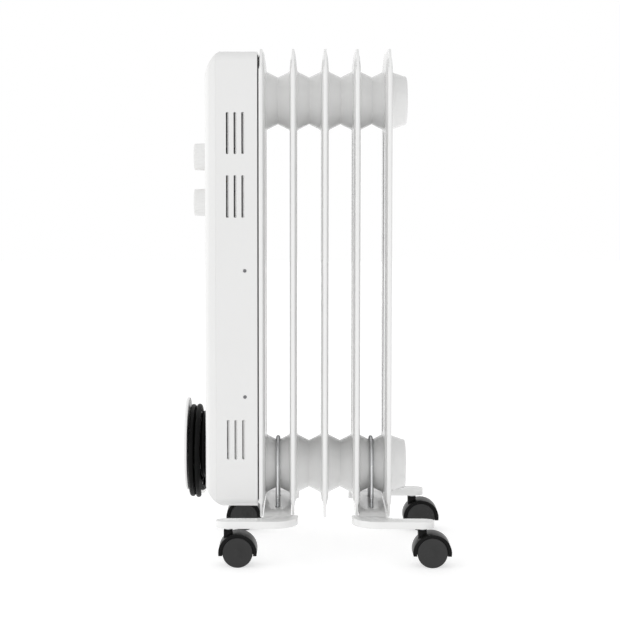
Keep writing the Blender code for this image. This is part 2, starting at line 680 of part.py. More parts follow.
def build_lead():
    """Gland, free lead, coil on the wrap, lead to the plug, and the plug."""
    near, far = coil_faces()
    coil = turned([(COIL_OUTER_R, near - far), (COIL_OUTER_R, 0.0), (COIL_INNER_R, 0.0),
                   (COIL_INNER_R, near - far)], (near, 0, COIL_Z), (-1, 0, 0), steps=28)
    part("lead_coil", coil, BLACK_PVC)

    lane = near - 0.0040
    gland_end = GLAND_Y - 0.018
    spout = cut(rod((lane, GLAND_Y + 0.008, GLAND_Z), (lane, gland_end, GLAND_Z), 0.0056, 0.0047, steps=16),
                box(HOUSING_FRONT - GAP, HOUSING_FRONT + 0.01, gland_end - 0.01, GLAND_Y + 0.02,
                    GLAND_Z - 0.01, GLAND_Z + 0.01))
    pin = rod((lane, GLAND_Y, GLAND_Z), (HOUSING_FRONT + 0.0040, GLAND_Y, GLAND_Z), 0.0048, steps=16)
    part("cord_gland", union(spout, pin), BLACK_PVC)

    start, end = gland_end - GAP, -0.0265
    at_coil = COIL_Z - math.sqrt((COIL_INNER_R - LEAD_R - 0.0009) ** 2 - end ** 2)
    lead_in = smooth_route([(lane, start, GLAND_Z), (lane, start - 0.006, GLAND_Z),
                            (lane, end + 0.006, GLAND_Z + 0.0006), (lane, end, at_coil)], 6)
    part("lead_from_gland", tube(lead_in, LEAD_R), BLACK_PVC)

    lane = (near + far) / 2
    relief_top = PLUG_FACE_Z + PLUG_LONG
    lead_out = smooth_route([(lane, COIL_OUTER_R + LEAD_R + 0.0006, COIL_Z), (lane, 0.0673, 0.1140),
                             (lane, PLUG_Y - 0.0006, 0.1085), (lane, PLUG_Y, relief_top + GAP)], 6)
    part("lead_to_plug", tube(lead_out, LEAD_R), BLACK_PVC)

    body = turned([(0.0, PLUG_LONG), (0.0046, PLUG_LONG), (0.0056, 0.024), (0.0100, 0.0180),
                   (0.0115, 0.0150), (0.0115, 0.0012), (0.0103, 0.0), (0.0, 0.0)],
                  (lane, PLUG_Y, PLUG_FACE_Z), (0, 0, 1), steps=20, closed=False)
    pins = [box(lane - 0.0032, lane + 0.0032, PLUG_Y + y - 0.00075, PLUG_Y + y + 0.00075,
                PLUG_FACE_Z - 0.0140, PLUG_FACE_Z + 0.002) for y in (-0.0063, 0.0063)]
    part("power_plug", union(body, *pins), BLACK_PVC)


# ---------------------------------------------------------------- feet
def bracket_outline(inset):
    """Plan of a foot bracket about its gap, arms towards +X: a saddle between two fins,
    a wide bend beyond them and an arm with a round end about each castor's stem."""
    saddle = SADDLE_HALF - inset
    fillet = 0.010 + inset
    inner, outer = ARM_Y - ARM_HALF + inset, ARM_Y + ARM_HALF - inset
    side = BRACKET_OUTER - inset
    bend = BEND_R - inset
    flare = FLARE_Y + inset
    half = [(saddle, 0.0)]
    half += arc(saddle + fillet, inner - fillet, fillet, fillet, 180, 90, 3)
    half += arc(STEM_OFFSET, ARM_Y, ARM_END - inset, ARM_HALF - inset, -90, 90, 6)
    half += arc(bend - side, outer - bend, bend, bend, 90, 180, 5)
    half += [(-side, flare + 0.002), (-side + 0.002, flare), (-saddle - 0.002, flare),
             (-saddle, flare - 0.002)]
    return half + [(x, -y) for x, y in reversed(half)][:-1]


def bracket_block(inset, low):
    """The bracket's outer form, or the hollow under it when inset by its wall."""
    arms = slab([bracket_outline(inset)], low, BRACKET_TOP - inset)
    flat, foot = FLARE_Y - 0.003 - inset, FLARE_Y + 0.009 - inset
    top, skirt = SADDLE_TOP - inset, BRACKET_TOP - inset - 0.001
    raised = [(-foot, low), (foot, low), (foot, skirt), (flat, top), (-flat, top), (-foot, skirt)]
    half = SADDLE_HALF - inset - 0.0004
    saddle = slab([raised], -half, half, ALONG_X)
    return union(arms, saddle)


def build_brackets():
    leg = u_bolt_leg()
    pressed = cut(bracket_block(0.0, BRACKET_LOW), bracket_block(BRACKET_WALL, BRACKET_LOW - 0.002))
    bosses, holes = [], []
    for side in (-1, 1):
        y = side * ARM_Y
        bosses.append(rod((STEM_OFFSET, y, BRACKET_LOW), (STEM_OFFSET, y, BRACKET_TOP - 0.001), 0.0070, steps=16))
        holes.append(rod((STEM_OFFSET, y, BRACKET_LOW - 0.001),
                         (STEM_OFFSET, y, BRACKET_TOP - BRACKET_WALL), STEM_R + GAP, steps=16))
        holes.append(rod((0, side * leg, BRACKET_LOW), (0, side * leg, SADDLE_TOP + 0.001),
                         U_BOLT_ROD_R + 0.0005, steps=12))
    rear = cut(union(pressed, *bosses), together(holes))
    part("foot_bracket_rear", moved(rear, REAR_GAP_X), WHITE_ENAMEL)
    part("foot_bracket_front", moved(mirrored(rear, 0), FRONT_GAP_X), WHITE_ENAMEL)


def u_bolt_leg():
    """Distance of a U-bolt's leg from the collar's axis, its rod lying in the collar's waist."""
    slope = math.atan2(COLLAR_BASE_R + 0.0024 - COLLAR_WAIST_R, FIN_PITCH / 2)
    return COLLAR_WAIST_R + (U_BOLT_ROD_R + GAP) / math.cos(slope) + 0.0002


def build_u_bolts():
    leg = u_bolt_leg()
    axis_z = COLLAR_Z[0]
    nut_top = SADDLE_TOP - BRACKET_WALL - GAP
    for name, x in (("front", FRONT_GAP_X), ("rear", REAR_GAP_X)):
        bend = [(x, y, z) for y, z in arc(0, axis_z, leg, leg, 180, 0, 12)]
        route = [(x, -leg, U_BOLT_LOW)] + bend + [(x, leg, U_BOLT_LOW)]
        part(f"u_bolt_{name}", tube(route, U_BOLT_ROD_R), CHROME)
        for side, word in ((-1, "left"), (1, "right")):
            y = side * leg
            hub = rod((x, y, nut_top), (x, y, nut_top - 0.0060), 0.0046, 0.0054, steps=12)
            wings = box(x - 0.0115, x + 0.0115, y - 0.0009, y + 0.0009, nut_top - 0.0085, nut_top - 0.0015)
            bore = rod((x, y, nut_top + 0.001), (x, y, nut_top - 0.010), U_BOLT_ROD_R + GAP, steps=12)
            part(f"wing_nut_{name}_{word}", cut(union(hub, wings), bore), STEEL)


def castor_hood():
    """Hood, web, neck and stem of a twin-wheel castor about its stem's axis."""
    outline = arc(TRAIL, WHEEL_R, HOOD_R, HOOD_RISE, -10, 190, 14)
    hood = slab([outline], -HOOD_HALF, HOOD_HALF, ALONG_Y)
    web = WHEEL_INNER_FACE - 0.0004
    hub = rod((TRAIL, -web, WHEEL_R), (TRAIL, web, WHEEL_R), 0.0070, steps=16)
    block = STEM_BLOCK / 2
    neck = box(-block, block, -block, block, WHEEL_R + 0.012, BRACKET_LOW - GAP)
    stem = rod((0, 0, WHEEL_R + 0.020), (0, 0, BRACKET_TOP - BRACKET_WALL - GAP), STEM_R, steps=16)
    spaces = [rod((TRAIL, s * web, WHEEL_R), (TRAIL, s * (HOOD_HALF + 0.001), WHEEL_R),
                  HOOD_R - HOOD_WALL, steps=24) for s in (-1, 1)]
    axle_hole = rod((TRAIL, -0.01, WHEEL_R), (TRAIL, 0.01, WHEEL_R), AXLE_R + GAP, steps=12)
    return cut(union(hood, hub, neck, stem), *spaces, axle_hole)


def castor_wheel(side):
    """One wheel about the stem's axis, open on its inner face for the axle."""
    t = WHEEL_THICK
    profile = [(0.0, t), (WHEEL_R - 0.0014, t), (WHEEL_R, t - 0.0014), (WHEEL_R, 0.0),
               (AXLE_R + GAP, 0.0), (AXLE_R + GAP, t - 0.003), (0.0, t - 0.003)]
    return turned(profile, (TRAIL, side * WHEEL_INNER_FACE, WHEEL_R), (0, side, 0), 24, closed=False)


def build_castors():
    hood = castor_hood()
    wheels = {side: castor_wheel(side) for side in (-1, 1)}
    axle_end = WHEEL_INNER_FACE + WHEEL_THICK - 0.003 - GAP
    for row, gap_x, arm in (("front", FRONT_GAP_X, -1), ("rear", REAR_GAP_X, 1)):
        for side, word in ((-1, "left"), (1, "right")):
            x, y = gap_x + arm * STEM_OFFSET, side * ARM_Y
            name = f"castor_{row}_{word}"
            part(f"{name}_hood", moved(hood, x, y), BLACK_PLASTIC, (x, y, BRACKET_LOW))
            centre = (x + TRAIL, y, WHEEL_R)
            axle = rod((x + TRAIL, y - axle_end, WHEEL_R), (x + TRAIL, y + axle_end, WHEEL_R), AXLE_R, steps=12)
            part(f"{name}_axle", axle, STEEL, centre)
            for wheel_side, wheel_word in ((-1, "a"), (1, "b")):
                wheel = moved(wheels[wheel_side], x, y)
                part(f"{name}_wheel_{wheel_word}", wheel, BLACK_PLASTIC, centre)


# ---------------------------------------------------------------- build
build_fins()
build_end_caps()
build_gallery_fittings()
build_housing()
build_controls()
build_safety_parts()
build_wrap()
build_lead()
build_brackets()
build_u_bolts()
build_castors()
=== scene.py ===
"""Looks of the oil filled radiator heater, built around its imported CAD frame."""

import math

import bmesh
import bpy
from mathutils import Matrix, Vector


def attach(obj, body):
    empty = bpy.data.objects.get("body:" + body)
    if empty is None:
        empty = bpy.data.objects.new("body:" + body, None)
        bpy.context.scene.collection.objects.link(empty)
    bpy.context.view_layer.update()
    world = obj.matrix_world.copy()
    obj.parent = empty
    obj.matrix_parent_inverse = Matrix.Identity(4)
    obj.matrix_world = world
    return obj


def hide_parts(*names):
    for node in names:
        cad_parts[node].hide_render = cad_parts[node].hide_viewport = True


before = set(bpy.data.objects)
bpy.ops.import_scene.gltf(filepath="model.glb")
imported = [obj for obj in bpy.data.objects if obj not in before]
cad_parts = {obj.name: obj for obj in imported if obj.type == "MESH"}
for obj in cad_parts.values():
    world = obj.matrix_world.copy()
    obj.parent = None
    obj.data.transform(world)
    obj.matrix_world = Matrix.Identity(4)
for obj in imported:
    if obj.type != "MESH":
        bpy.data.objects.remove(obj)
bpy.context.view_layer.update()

# ---------------------------------------- dimensions, as in the CAD
GAP = 0.0003
FIN_X = [0.01125 + 0.040 * (i - 2) for i in range(5)]
FIN_HALF_DEPTH = 0.075
FIN_LOW, FIN_HIGH = 0.050, 0.640
FIN_CORNER = 0.025
SEAM = 0.0028
HEM_THICK, HEM_WIDE = 0.0056, 0.0062
CHANNEL_THICK = 0.0090
CHANNEL_MARGIN = 0.019        # from the fin's edge to the foot of the channels
CHANNEL_SHORT = 0.016
WEB_WIDE, WEB_SHORT = 0.016, 0.090
COLLAR_Z = (0.1090, 0.5775)
COLLAR_ROOT_R, COLLAR_WAIST_R = 0.0399, 0.0300
PITCH_HALF = 0.020
NECK_R, NECK_REACH = 0.0225, 0.0190
END_CAP_REACH, END_CAP_R = 0.0245, 0.0315

HOUSING_FRONT, HOUSING_BACK = -0.13845, -0.0732
SIDE_SCREW_X, SIDE_SCREW_Z = -0.08885, (0.206, 0.364)
HOUSING_HALF = 0.072
HOUSING_LOW, HOUSING_HIGH = 0.0665, 0.6360
PANEL_BACK = -0.12525
PANEL_EDGE_R = 0.0065
TOP_CORNER, BOTTOM_CORNER = (0.0190, 0.0300), (0.0230, 0.0270)
CORNER_POWER, LONG_EDGE_R = 1.40, 0.0120
VENT_FROM_FRONT = (0.0288, 0.0383, 0.0479)
VENT_BANDS = ((0.509, 0.561), (0.430, 0.483), (0.127, 0.177))
VENT_MOUTHS = (0.0014, 0.0013, 0.0006)    # width that is cut right through, for each band
VENT_SHIFTS = (-0.0004, -0.0004, 0.0001)  # how far each band's slots sit from their nominal places

KNOB_Z = {"thermostat": 0.5059, "selector": 0.4474}
KNOB_R, KNOB_PROUD = 0.0178, 0.0180
LAMP_Z = 0.4767

LEAD_R = 0.0035
WRAP_Z, COIL_Z = 0.1350, 0.1255
GLAND_Y, GLAND_Z, GLAND_MOUTH_Y = 0.0100, 0.0950, -0.0080
LANE_X = -0.14305
PLUG_X, PLUG_Y, PLUG_FACE_Z, PLUG_LONG = -0.1508, 0.071, 0.070, 0.034

GAP_X = {"front": -0.04875, "rear": 0.07125}
ARM_SIGN = {"front": -1, "rear": 1}
BRACKET_LOW, BRACKET_TOP, SADDLE_TOP = 0.0477, 0.0565, 0.0590
ARM_HALF, ARM_END, BEND_R = 0.0100, 0.0150, 0.032
ARM_Y, STEM_OFFSET = 0.098, 0.0601
U_BOLT_LEG, U_BOLT_R = 0.03344, 0.0026

WHEEL_R, WHEEL_THICK, WHEEL_INNER = 0.0187, 0.0095, 0.0052
HOOD_R, HOOD_RISE, HOOD_WALL, HOOD_HALF = 0.0238, 0.0228, 0.0045, 0.0150
STEM_BLOCK = 0.0108
TRAIL = 0.0120

ALONG_X = Matrix(((0, 0, 1), (1, 0, 0), (0, 1, 0))).to_4x4()
ALONG_Y = Matrix(((1, 0, 0), (0, 0, -1), (0, 1, 0))).to_4x4()
ALONG_Z = Matrix.Identity(4)


# ---------------------------------------- mesh helpers
def placed(name, data):
    """A new object in the scene for this mesh, curve, light or camera."""
    obj = bpy.data.objects.new(name, data)
    bpy.context.scene.collection.objects.link(obj)
    return obj


def smoothstep(t):
    t = min(1.0, max(0.0, t))
    return t * t * (3 - 2 * t)


def arc(cx, cy, rx, ry, start, end, steps):
    points = []
    for i in range(steps + 1):
        a = math.radians(start + (end - start) * i / steps)
        points.append((cx + rx * math.cos(a), cy + ry * math.sin(a)))
    return points


def flat_corner(cx, cy, rx, ry, start, end, steps):
    """Points of a corner that is flatter in its middle than an elliptic arc."""
    points = []
    for u, v in arc(0.0, 0.0, 1.0, 1.0, start, end, steps):
        points.append((cx + rx * math.copysign(abs(u) ** CORNER_POWER, u),
                       cy + ry * math.copysign(abs(v) ** CORNER_POWER, v)))
    return points


def circle(radius, steps, cx=0.0, cy=0.0):
    return arc(cx, cy, radius, radius, 0, 360, steps)[:-1]


def rounded_box(wide, high, radius, cx=0.0, cy=0.0, steps=6):
    a, b = wide / 2 - radius, high / 2 - radius
    points = []
    for sx, sy, start in ((1, 1, 0), (-1, 1, 90), (-1, -1, 180), (1, -1, 270)):
        points += arc(cx + sx * a, cy + sy * b, radius, radius, start, start + 90, steps)
    return points


def mesh_of(verts, faces, weld=1e-6):
    """A mesh from points and faces, welded and faced outwards."""
    mesh = bpy.data.meshes.new("made")
    mesh.from_pydata([tuple(v) for v in verts], [], faces)
    bm = bmesh.new()
    bm.from_mesh(mesh)
    bmesh.ops.remove_doubles(bm, verts=bm.verts, dist=weld)
    bmesh.ops.dissolve_degenerate(bm, edges=bm.edges, dist=weld)
    bmesh.ops.recalc_face_normals(bm, faces=bm.faces)
    bm.to_mesh(mesh)
    bm.free()
    return mesh


def loft(rings):
    """Rings with the same number of points, joined in order, with flat ends."""
    n = len(rings[0])
    verts = [p for ring in rings for p in ring]
    faces = []
    for k in range(len(rings) - 1):
        a, b = k * n, (k + 1) * n
        for i in range(n):
            j = (i + 1) % n
            faces.append((a + i, a + j, b + j, b + i))
    faces.append(tuple(range(n)))
    faces.append(tuple(range(len(verts) - n, len(verts))))
    return mesh_of(verts, faces)


def turned(profile, base, axis, steps=64, closed=False):
    """A profile of (radius, height) points turned about an axis through base."""
    turn = Vector((0, 0, 1)).rotation_difference(Vector(axis)).to_matrix()
    base = Vector(base)
    verts, faces = [], []
    count = len(profile)
    for i in range(steps):
        a = math.tau * i / steps
        for r, h in profile:
            verts.append(base + turn @ Vector((r * math.cos(a), r * math.sin(a), h)))
    for i in range(steps):
        j = (i + 1) % steps
        for k in range(count if closed else count - 1):
            m = (k + 1) % count
            faces.append((i * count + k, j * count + k, j * count + m, i * count + m))
    return mesh_of(verts, faces)


def rod(start, end, radius, steps=32):
    run = Vector(end) - Vector(start)
    return turned([(0.0, 0.0), (radius, 0.0), (radius, run.length), (0.0, run.length)], start, run, steps)


def slab(outlines, low, high, axes=ALONG_Z):
    """A flat outline, with any holes, made solid from low to high along its third axis."""
    curve = bpy.data.curves.new("outline", "CURVE")
    curve.dimensions = "2D"
    curve.fill_mode = "BOTH"
    curve.extrude = (high - low) / 2
    for outline in outlines:
        spline = curve.splines.new("POLY")
        spline.points.add(len(outline) - 1)
        for point, (u, v) in zip(spline.points, outline):
            point.co = (u, v, 0.0, 1.0)
        spline.use_cyclic_u = True
    obj = placed("outline", curve)
    obj.matrix_world = axes @ Matrix.Translation((0, 0, (low + high) / 2))
    return taken(obj)


def box(x0, x1, y0, y1, z0, z1):
    return loft([[(x0, y0, z), (x1, y0, z), (x1, y1, z), (x0, y1, z)] for z in (z0, z1)])


def taken(obj):
    """Removes a helper object and hands back its final mesh, welded."""
    bpy.context.view_layer.update()
    graph = bpy.context.evaluated_depsgraph_get()
    mesh = bpy.data.meshes.new_from_object(obj.evaluated_get(graph))
    mesh.transform(obj.matrix_world)
    bpy.data.objects.remove(obj, do_unlink=True)
    bm = bmesh.new()
    bm.from_mesh(mesh)
    bmesh.ops.remove_doubles(bm, verts=bm.verts, dist=1e-6)
    bm.to_mesh(mesh)
    bm.free()
    mesh.materials.clear()
    return mesh


def together(meshes):
    bm = bmesh.new()
    for mesh in meshes:
        bm.from_mesh(mesh)
    mesh = bpy.data.meshes.new("together")
    bm.to_mesh(mesh)
    bm.free()
    return mesh


def combined(base, others, operation):
    obj = placed("base", base)
    tools = []
    for other in others:
        tool = placed("tool", other)
        modifier = obj.modifiers.new("boolean", "BOOLEAN")
        modifier.operation = operation
        modifier.solver = "EXACT"
        modifier.object = tool
        tools.append(tool)
    mesh = taken(obj)
    for tool in tools:
        bpy.data.objects.remove(tool, do_unlink=True)
    return mesh


def union(base, *others):
    return combined(base, others, "UNION")


def cut(base, *others):
    return combined(base, others, "DIFFERENCE")


def common(base, *others):
    return combined(base, others, "INTERSECT")


def softened(mesh, width, segments=3, angle=30):
    """The mesh with its sharp edges rounded."""
    obj = placed("soft", mesh)
    bevel = obj.modifiers.new("bevel", "BEVEL")
    bevel.width = width
    bevel.segments = segments
    bevel.limit_method = "ANGLE"
    bevel.angle_limit = math.radians(angle)
    bevel.miter_outer = "MITER_ARC"
    return taken(obj)


def moved(mesh, x, y=0.0):
    copy = mesh.copy()
    copy.transform(Matrix.Translation((x, y, 0.0)))
    return copy


def mirrored_x(mesh):
    copy = mesh.copy()
    copy.transform(Matrix.Diagonal((-1, 1, 1, 1)))
    copy.flip_normals()
    return copy


def sweep(points, radii, sides):
    """A round bar along points, with a radius for each point."""
    points = [Vector(p) for p in points]
    rings = []
    tangent = (points[1] - points[0]).normalized()
    normal = tangent.orthogonal().normalized()
    for i, p in enumerate(points):
        ahead = points[min(i + 1, len(points) - 1)] - points[max(i - 1, 0)]
        ahead.normalize()
        normal = (normal - ahead * normal.dot(ahead)).normalized()
        side = ahead.cross(normal)
        ring = []
        for k in range(sides):
            a = math.tau * k / sides
            ring.append(p + radii[i] * (normal * math.cos(a) + side * math.sin(a)))
        rings.append(ring)
    return loft(rings)


def piece(name, mesh, material, body, slot, *nodes, angle=32, even=False):
    """A finished piece: its mesh, finish, body, record slot (not used) and the CAD nodes it stands for."""
    obj = placed(name, mesh)
    mesh.materials.clear()
    mesh.materials.append(material)
    mesh.shade_smooth()
    mesh.set_sharp_from_angle(angle=math.radians(angle))
    if even:
        weighted = obj.modifiers.new("even", "WEIGHTED_NORMAL")
        weighted.keep_sharp = True
    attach(obj, body)
    if nodes:
        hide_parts(*nodes)
    return obj


# ---------------------------------------- materials
NOISE_SPAN = (0.3, 0.7)


class Finish:
    """A Principled material with helpers for the procedural detail around it."""

    def __init__(self, name, colour, roughness, metallic=0.0, **sockets):
        self.material = bpy.data.materials.new(name)
        self.material.use_nodes = True
        self.nodes = self.material.node_tree.nodes
        self.links = self.material.node_tree.links
        self.shader = self.nodes["Principled BSDF"]
        self.shader.inputs["Base Color"].default_value = (*colour, 1.0)
        self.shader.inputs["Roughness"].default_value = roughness
        self.shader.inputs["Metallic"].default_value = metallic
        for socket, value in sockets.items():
            self.shader.inputs[socket.replace("_", " ")].default_value = value
        self.place = self.nodes.new("ShaderNodeTexCoord").outputs["Object"]
        self.bump_normal = None

    def noise(self, scale, detail=2.0, roughness=0.5, stretch=None):
        node = self.nodes.new("ShaderNodeTexNoise")
        node.inputs["Scale"].default_value = scale
        node.inputs["Detail"].default_value = detail
        node.inputs["Roughness"].default_value = roughness
        place = self.place
        if stretch:
            mapping = self.nodes.new("ShaderNodeMapping")
            mapping.inputs["Scale"].default_value = stretch
            self.links.new(place, mapping.inputs["Vector"])
            place = mapping.outputs["Vector"]
        self.links.new(place, node.inputs["Vector"])
        return node.outputs["Fac"]

    def ranged(self, value, low, high):
        """A noise value, most of which lies in NOISE_SPAN, stretched from low to high."""
        node = self.nodes.new("ShaderNodeMapRange")
        node.inputs["From Min"].default_value, node.inputs["From Max"].default_value = NOISE_SPAN
        node.inputs["To Min"].default_value = low
        node.inputs["To Max"].default_value = high
        self.links.new(value, node.inputs["Value"])
        return node.outputs["Result"]

    def vary_roughness(self, value, low, high):
        self.links.new(self.ranged(value, low, high), self.shader.inputs["Roughness"])

    def vary_colour(self, value, a, b):
        node = self.nodes.new("ShaderNodeMix")
        node.data_type = "RGBA"
        ends = {socket.name: socket for socket in node.inputs if socket.type == "RGBA"}
        ends["A"].default_value = (*a, 1.0)
        ends["B"].default_value = (*b, 1.0)
        self.links.new(self.ranged(value, 0.0, 1.0), node.inputs["Factor"])
        mixed = [socket for socket in node.outputs if socket.type == "RGBA"][0]
        self.links.new(mixed, self.shader.inputs["Base Color"])

    def bump(self, value, strength, distance):
        node = self.nodes.new("ShaderNodeBump")
        node.inputs["Strength"].default_value = strength
        node.inputs["Distance"].default_value = distance
        self.links.new(value, node.inputs["Height"])
        if self.bump_normal is not None:
            self.links.new(self.bump_normal, node.inputs["Normal"])
        self.bump_normal = node.outputs["Normal"]
        self.links.new(self.bump_normal, self.shader.inputs["Normal"])


def enamel(name, colour, shade, peel=0.10):
    """Powder coat: a slight orange peel, and gloss that wanders a little."""
    made = Finish(name, colour, 0.16, Coat_Weight=0.25, Coat_Roughness=0.10)
    made.vary_colour(made.noise(7.0, 3.0), colour, shade)
    made.vary_roughness(made.noise(28.0, 3.0), 0.14, 0.18)
    made.bump(made.noise(620.0, 2.0), peel, 0.0003)
    made.bump(made.noise(45.0, 1.0), 0.025, 0.0006)
    return made.material


def moulding(name, colour, shade, rough=(0.40, 0.52), grain=0.10, scale=1500.0, specular=0.5):
    """Moulded plastic: a fine even grain and faint flow in its gloss."""
    made = Finish(name, colour, rough[0], Specular_IOR_Level=specular)
    made.vary_colour(made.noise(9.0, 2.0), colour, shade)
    made.vary_roughness(made.noise(40.0, 3.0), *rough)
    made.bump(made.noise(scale, 2.0, 0.6), grain, 0.0002)
    return made.material


def plated(name, colour, rough, streak, scratch=0.05, edge=1.0):
    """Plated or bare metal: fine drawn streaks and a little wear."""
    made = Finish(name, colour, rough[0], 1.0, Specular_Tint=(edge, edge, edge, 1.0))
    made.vary_colour(made.noise(60.0, 3.0), colour, tuple(c * 0.9 for c in colour))
    made.vary_roughness(made.noise(180.0, 3.0, stretch=streak), *rough)
    made.bump(made.noise(900.0, 2.0, stretch=streak), scratch, 0.0001)
    return made.material


def grey(level):
    return (level, level, level)


WHITE_COAT = enamel("white_powder_coat", (0.850, 0.850, 0.846), (0.835, 0.835, 0.830))
WHITE_HOUSING = enamel("white_housing_coat", (0.800, 0.800, 0.797), (0.788, 0.788, 0.784), 0.08)
WHITE_ABS = moulding("white_moulded_plastic", (0.830, 0.830, 0.826), (0.820, 0.820, 0.815))
KNOB_ABS = moulding("knob_plastic", (0.800, 0.800, 0.796), (0.785, 0.785, 0.780), (0.32, 0.42), 0.05)
BLACK_NYLON = moulding("black_nylon", grey(0.004), grey(0.006), (0.28, 0.38), 0.12, 1100.0, 0.12)
BLACK_TYRE = moulding("black_tread", grey(0.026), grey(0.033), (0.55, 0.66), 0.20, 900.0, 0.3)
CHROME = plated("bright_chrome", (0.80, 0.81, 0.82), (0.07, 0.13), (1.0, 1.0, 0.2), 0.03, 0.15)
ZINC = plated("zinc_plate", (0.58, 0.59, 0.60), (0.28, 0.42), (1.0, 1.0, 0.3), 0.10)
DARK_ZINC = plated("dark_zinc_plate", (0.20, 0.20, 0.21), (0.30, 0.45), (1.0, 1.0, 0.3), 0.10)
PRONG = plated("nickel_prong", (0.80, 0.80, 0.79), (0.16, 0.26), (1.0, 1.0, 0.2), 0.05)
PRINT_GREY = moulding("printed_marks", (0.16, 0.16, 0.17), (0.20, 0.20, 0.21), (0.45, 0.55), 0.03)
GASKET = moulding("gasket_rubber", grey(0.030), grey(0.040), (0.65, 0.80), 0.25, 700.0)


def lead_finish():
    """Flexible PVC sheath: satin, with the slight lie of the cores under it."""
    made = Finish("black_pvc_sheath", grey(0.003), 0.34, Specular_IOR_Level=0.10)
    made.vary_colour(made.noise(55.0, 2.0), grey(0.0025), grey(0.0045))
    made.vary_roughness(made.noise(90.0, 3.0), 0.36, 0.50)
    made.bump(made.noise(420.0, 2.0), 0.12, 0.0003)
    return made.material


def lens_finish():
    made = Finish("amber_lens", (0.80, 0.30, 0.05), 0.12, Coat_Weight=0.6)
    made.vary_colour(made.noise(300.0, 1.0), (0.80, 0.30, 0.05), (0.62, 0.20, 0.03))
    made.vary_roughness(made.noise(200.0, 2.0), 0.10, 0.18)
    return made.material


SHEATH = lead_finish()
AMBER = lens_finish()


# ---------------------------------------- camera, light and floor
CAMERA_AT = (-0.0115, -1.9968, 0.4945)
CAMERA_PITCH, CAMERA_YAW = 0.0589, 0.0100
LENS, SENSOR = 90.0871, 36.0  # mm
SHIFT = (0.0299, -0.085)

LIGHT_LEVEL = 0.92            # the studio's even light
LIGHT_SLOPE = {"X": -0.36, "Z": -0.10}
FLOOR_GREY, FLOOR_GLOW = 0.50, 0.62


def build_camera():
    data = bpy.data.cameras.new("camera")
    data.lens, data.sensor_width = LENS, SENSOR
    data.shift_x, data.shift_y = SHIFT
    camera = placed("camera", data)
    camera.location = CAMERA_AT
    camera.rotation_euler = (math.pi / 2 - CAMERA_PITCH, 0.0, CAMERA_YAW)
    bpy.context.scene.camera = camera


def softbox(name, place, target, size, power):
    light = bpy.data.lights.new(name, "AREA")
    light.shape = "RECTANGLE"
    light.size, light.size_y = size
    light.energy = power
    obj = placed(name, light)
    obj.location = place
    obj.rotation_euler = (Vector(target) - Vector(place)).to_track_quat("-Z", "Y").to_euler()


def build_studio():
    bpy.context.scene.view_settings.view_transform = "Standard"
    world = bpy.data.worlds.new("white_studio")
    world.use_nodes = True
    nodes, links = world.node_tree.nodes, world.node_tree.links
    lit = nodes["Background"]
    lit.inputs["Color"].default_value = (1.0, 1.0, 1.0, 1.0)
    direction = nodes.new("ShaderNodeSeparateXYZ")
    links.new(nodes.new("ShaderNodeTexCoord").outputs["Generated"], direction.inputs["Vector"])
    strength = None
    for axis, slope in LIGHT_SLOPE.items():
        step = nodes.new("ShaderNodeMath")
        step.operation = "MULTIPLY_ADD"
        step.inputs[1].default_value = slope
        step.inputs[2].default_value = LIGHT_LEVEL
        links.new(direction.outputs[axis], step.inputs[0])
        if strength is not None:
            links.new(strength, step.inputs[2])
        strength = step.outputs["Value"]
    links.new(strength, lit.inputs["Strength"])
    seen = nodes.new("ShaderNodeBackground")
    seen.inputs["Color"].default_value = (1.0, 1.0, 1.0, 1.0)
    mix = nodes.new("ShaderNodeMixShader")
    links.new(nodes.new("ShaderNodeLightPath").outputs["Is Camera Ray"], mix.inputs["Fac"])
    links.new(lit.outputs["Background"], mix.inputs[1])
    links.new(seen.outputs["Background"], mix.inputs[2])
    links.new(mix.outputs["Shader"], nodes["World Output"].inputs["Surface"])
    bpy.context.scene.world = world
    softbox("left", (-2.6, -1.5, 1.2), (0, 0, 0.3), (1.4, 1.6), 6.0)
    softbox("front_right", (1.8, -2.6, 1.2), (0, 0, 0.3), (1.4, 1.6), 3.0)

    finish = Finish("floor_paper", grey(FLOOR_GREY), 0.85)
    finish.vary_colour(finish.noise(0.8, 1.0), grey(FLOOR_GREY), grey(FLOOR_GREY - 0.005))
    finish.shader.inputs["Emission Color"].default_value = (1.0, 1.0, 1.0, 1.0)
    finish.shader.inputs["Emission Strength"].default_value = FLOOR_GLOW
    floor = mesh_of([(-6, -6, 0), (6, -6, 0), (6, 6, 0), (-6, 6, 0)], [(0, 1, 2, 3)])
    floor.materials.append(finish.material)
    placed("floor", floor)


# ---------------------------------------- mains lead
COIL_COLUMNS = (-0.1434, -0.1508, -0.1582)
COIL_R = (0.0480, 0.0568)     # inner and outer layer
COIL_END = -1770              # degrees round the spool where the lead leaves it
COLUMN_STEPS = ((360, (0, 1)), (720, (1, 2)), (1400, (2, 1)))
LAYER_STEP, RISE_TURN, STEP_WINDOW = 1050, 95, 110
TURN_POINTS = 40
RUN_OUT_POINTS = 9


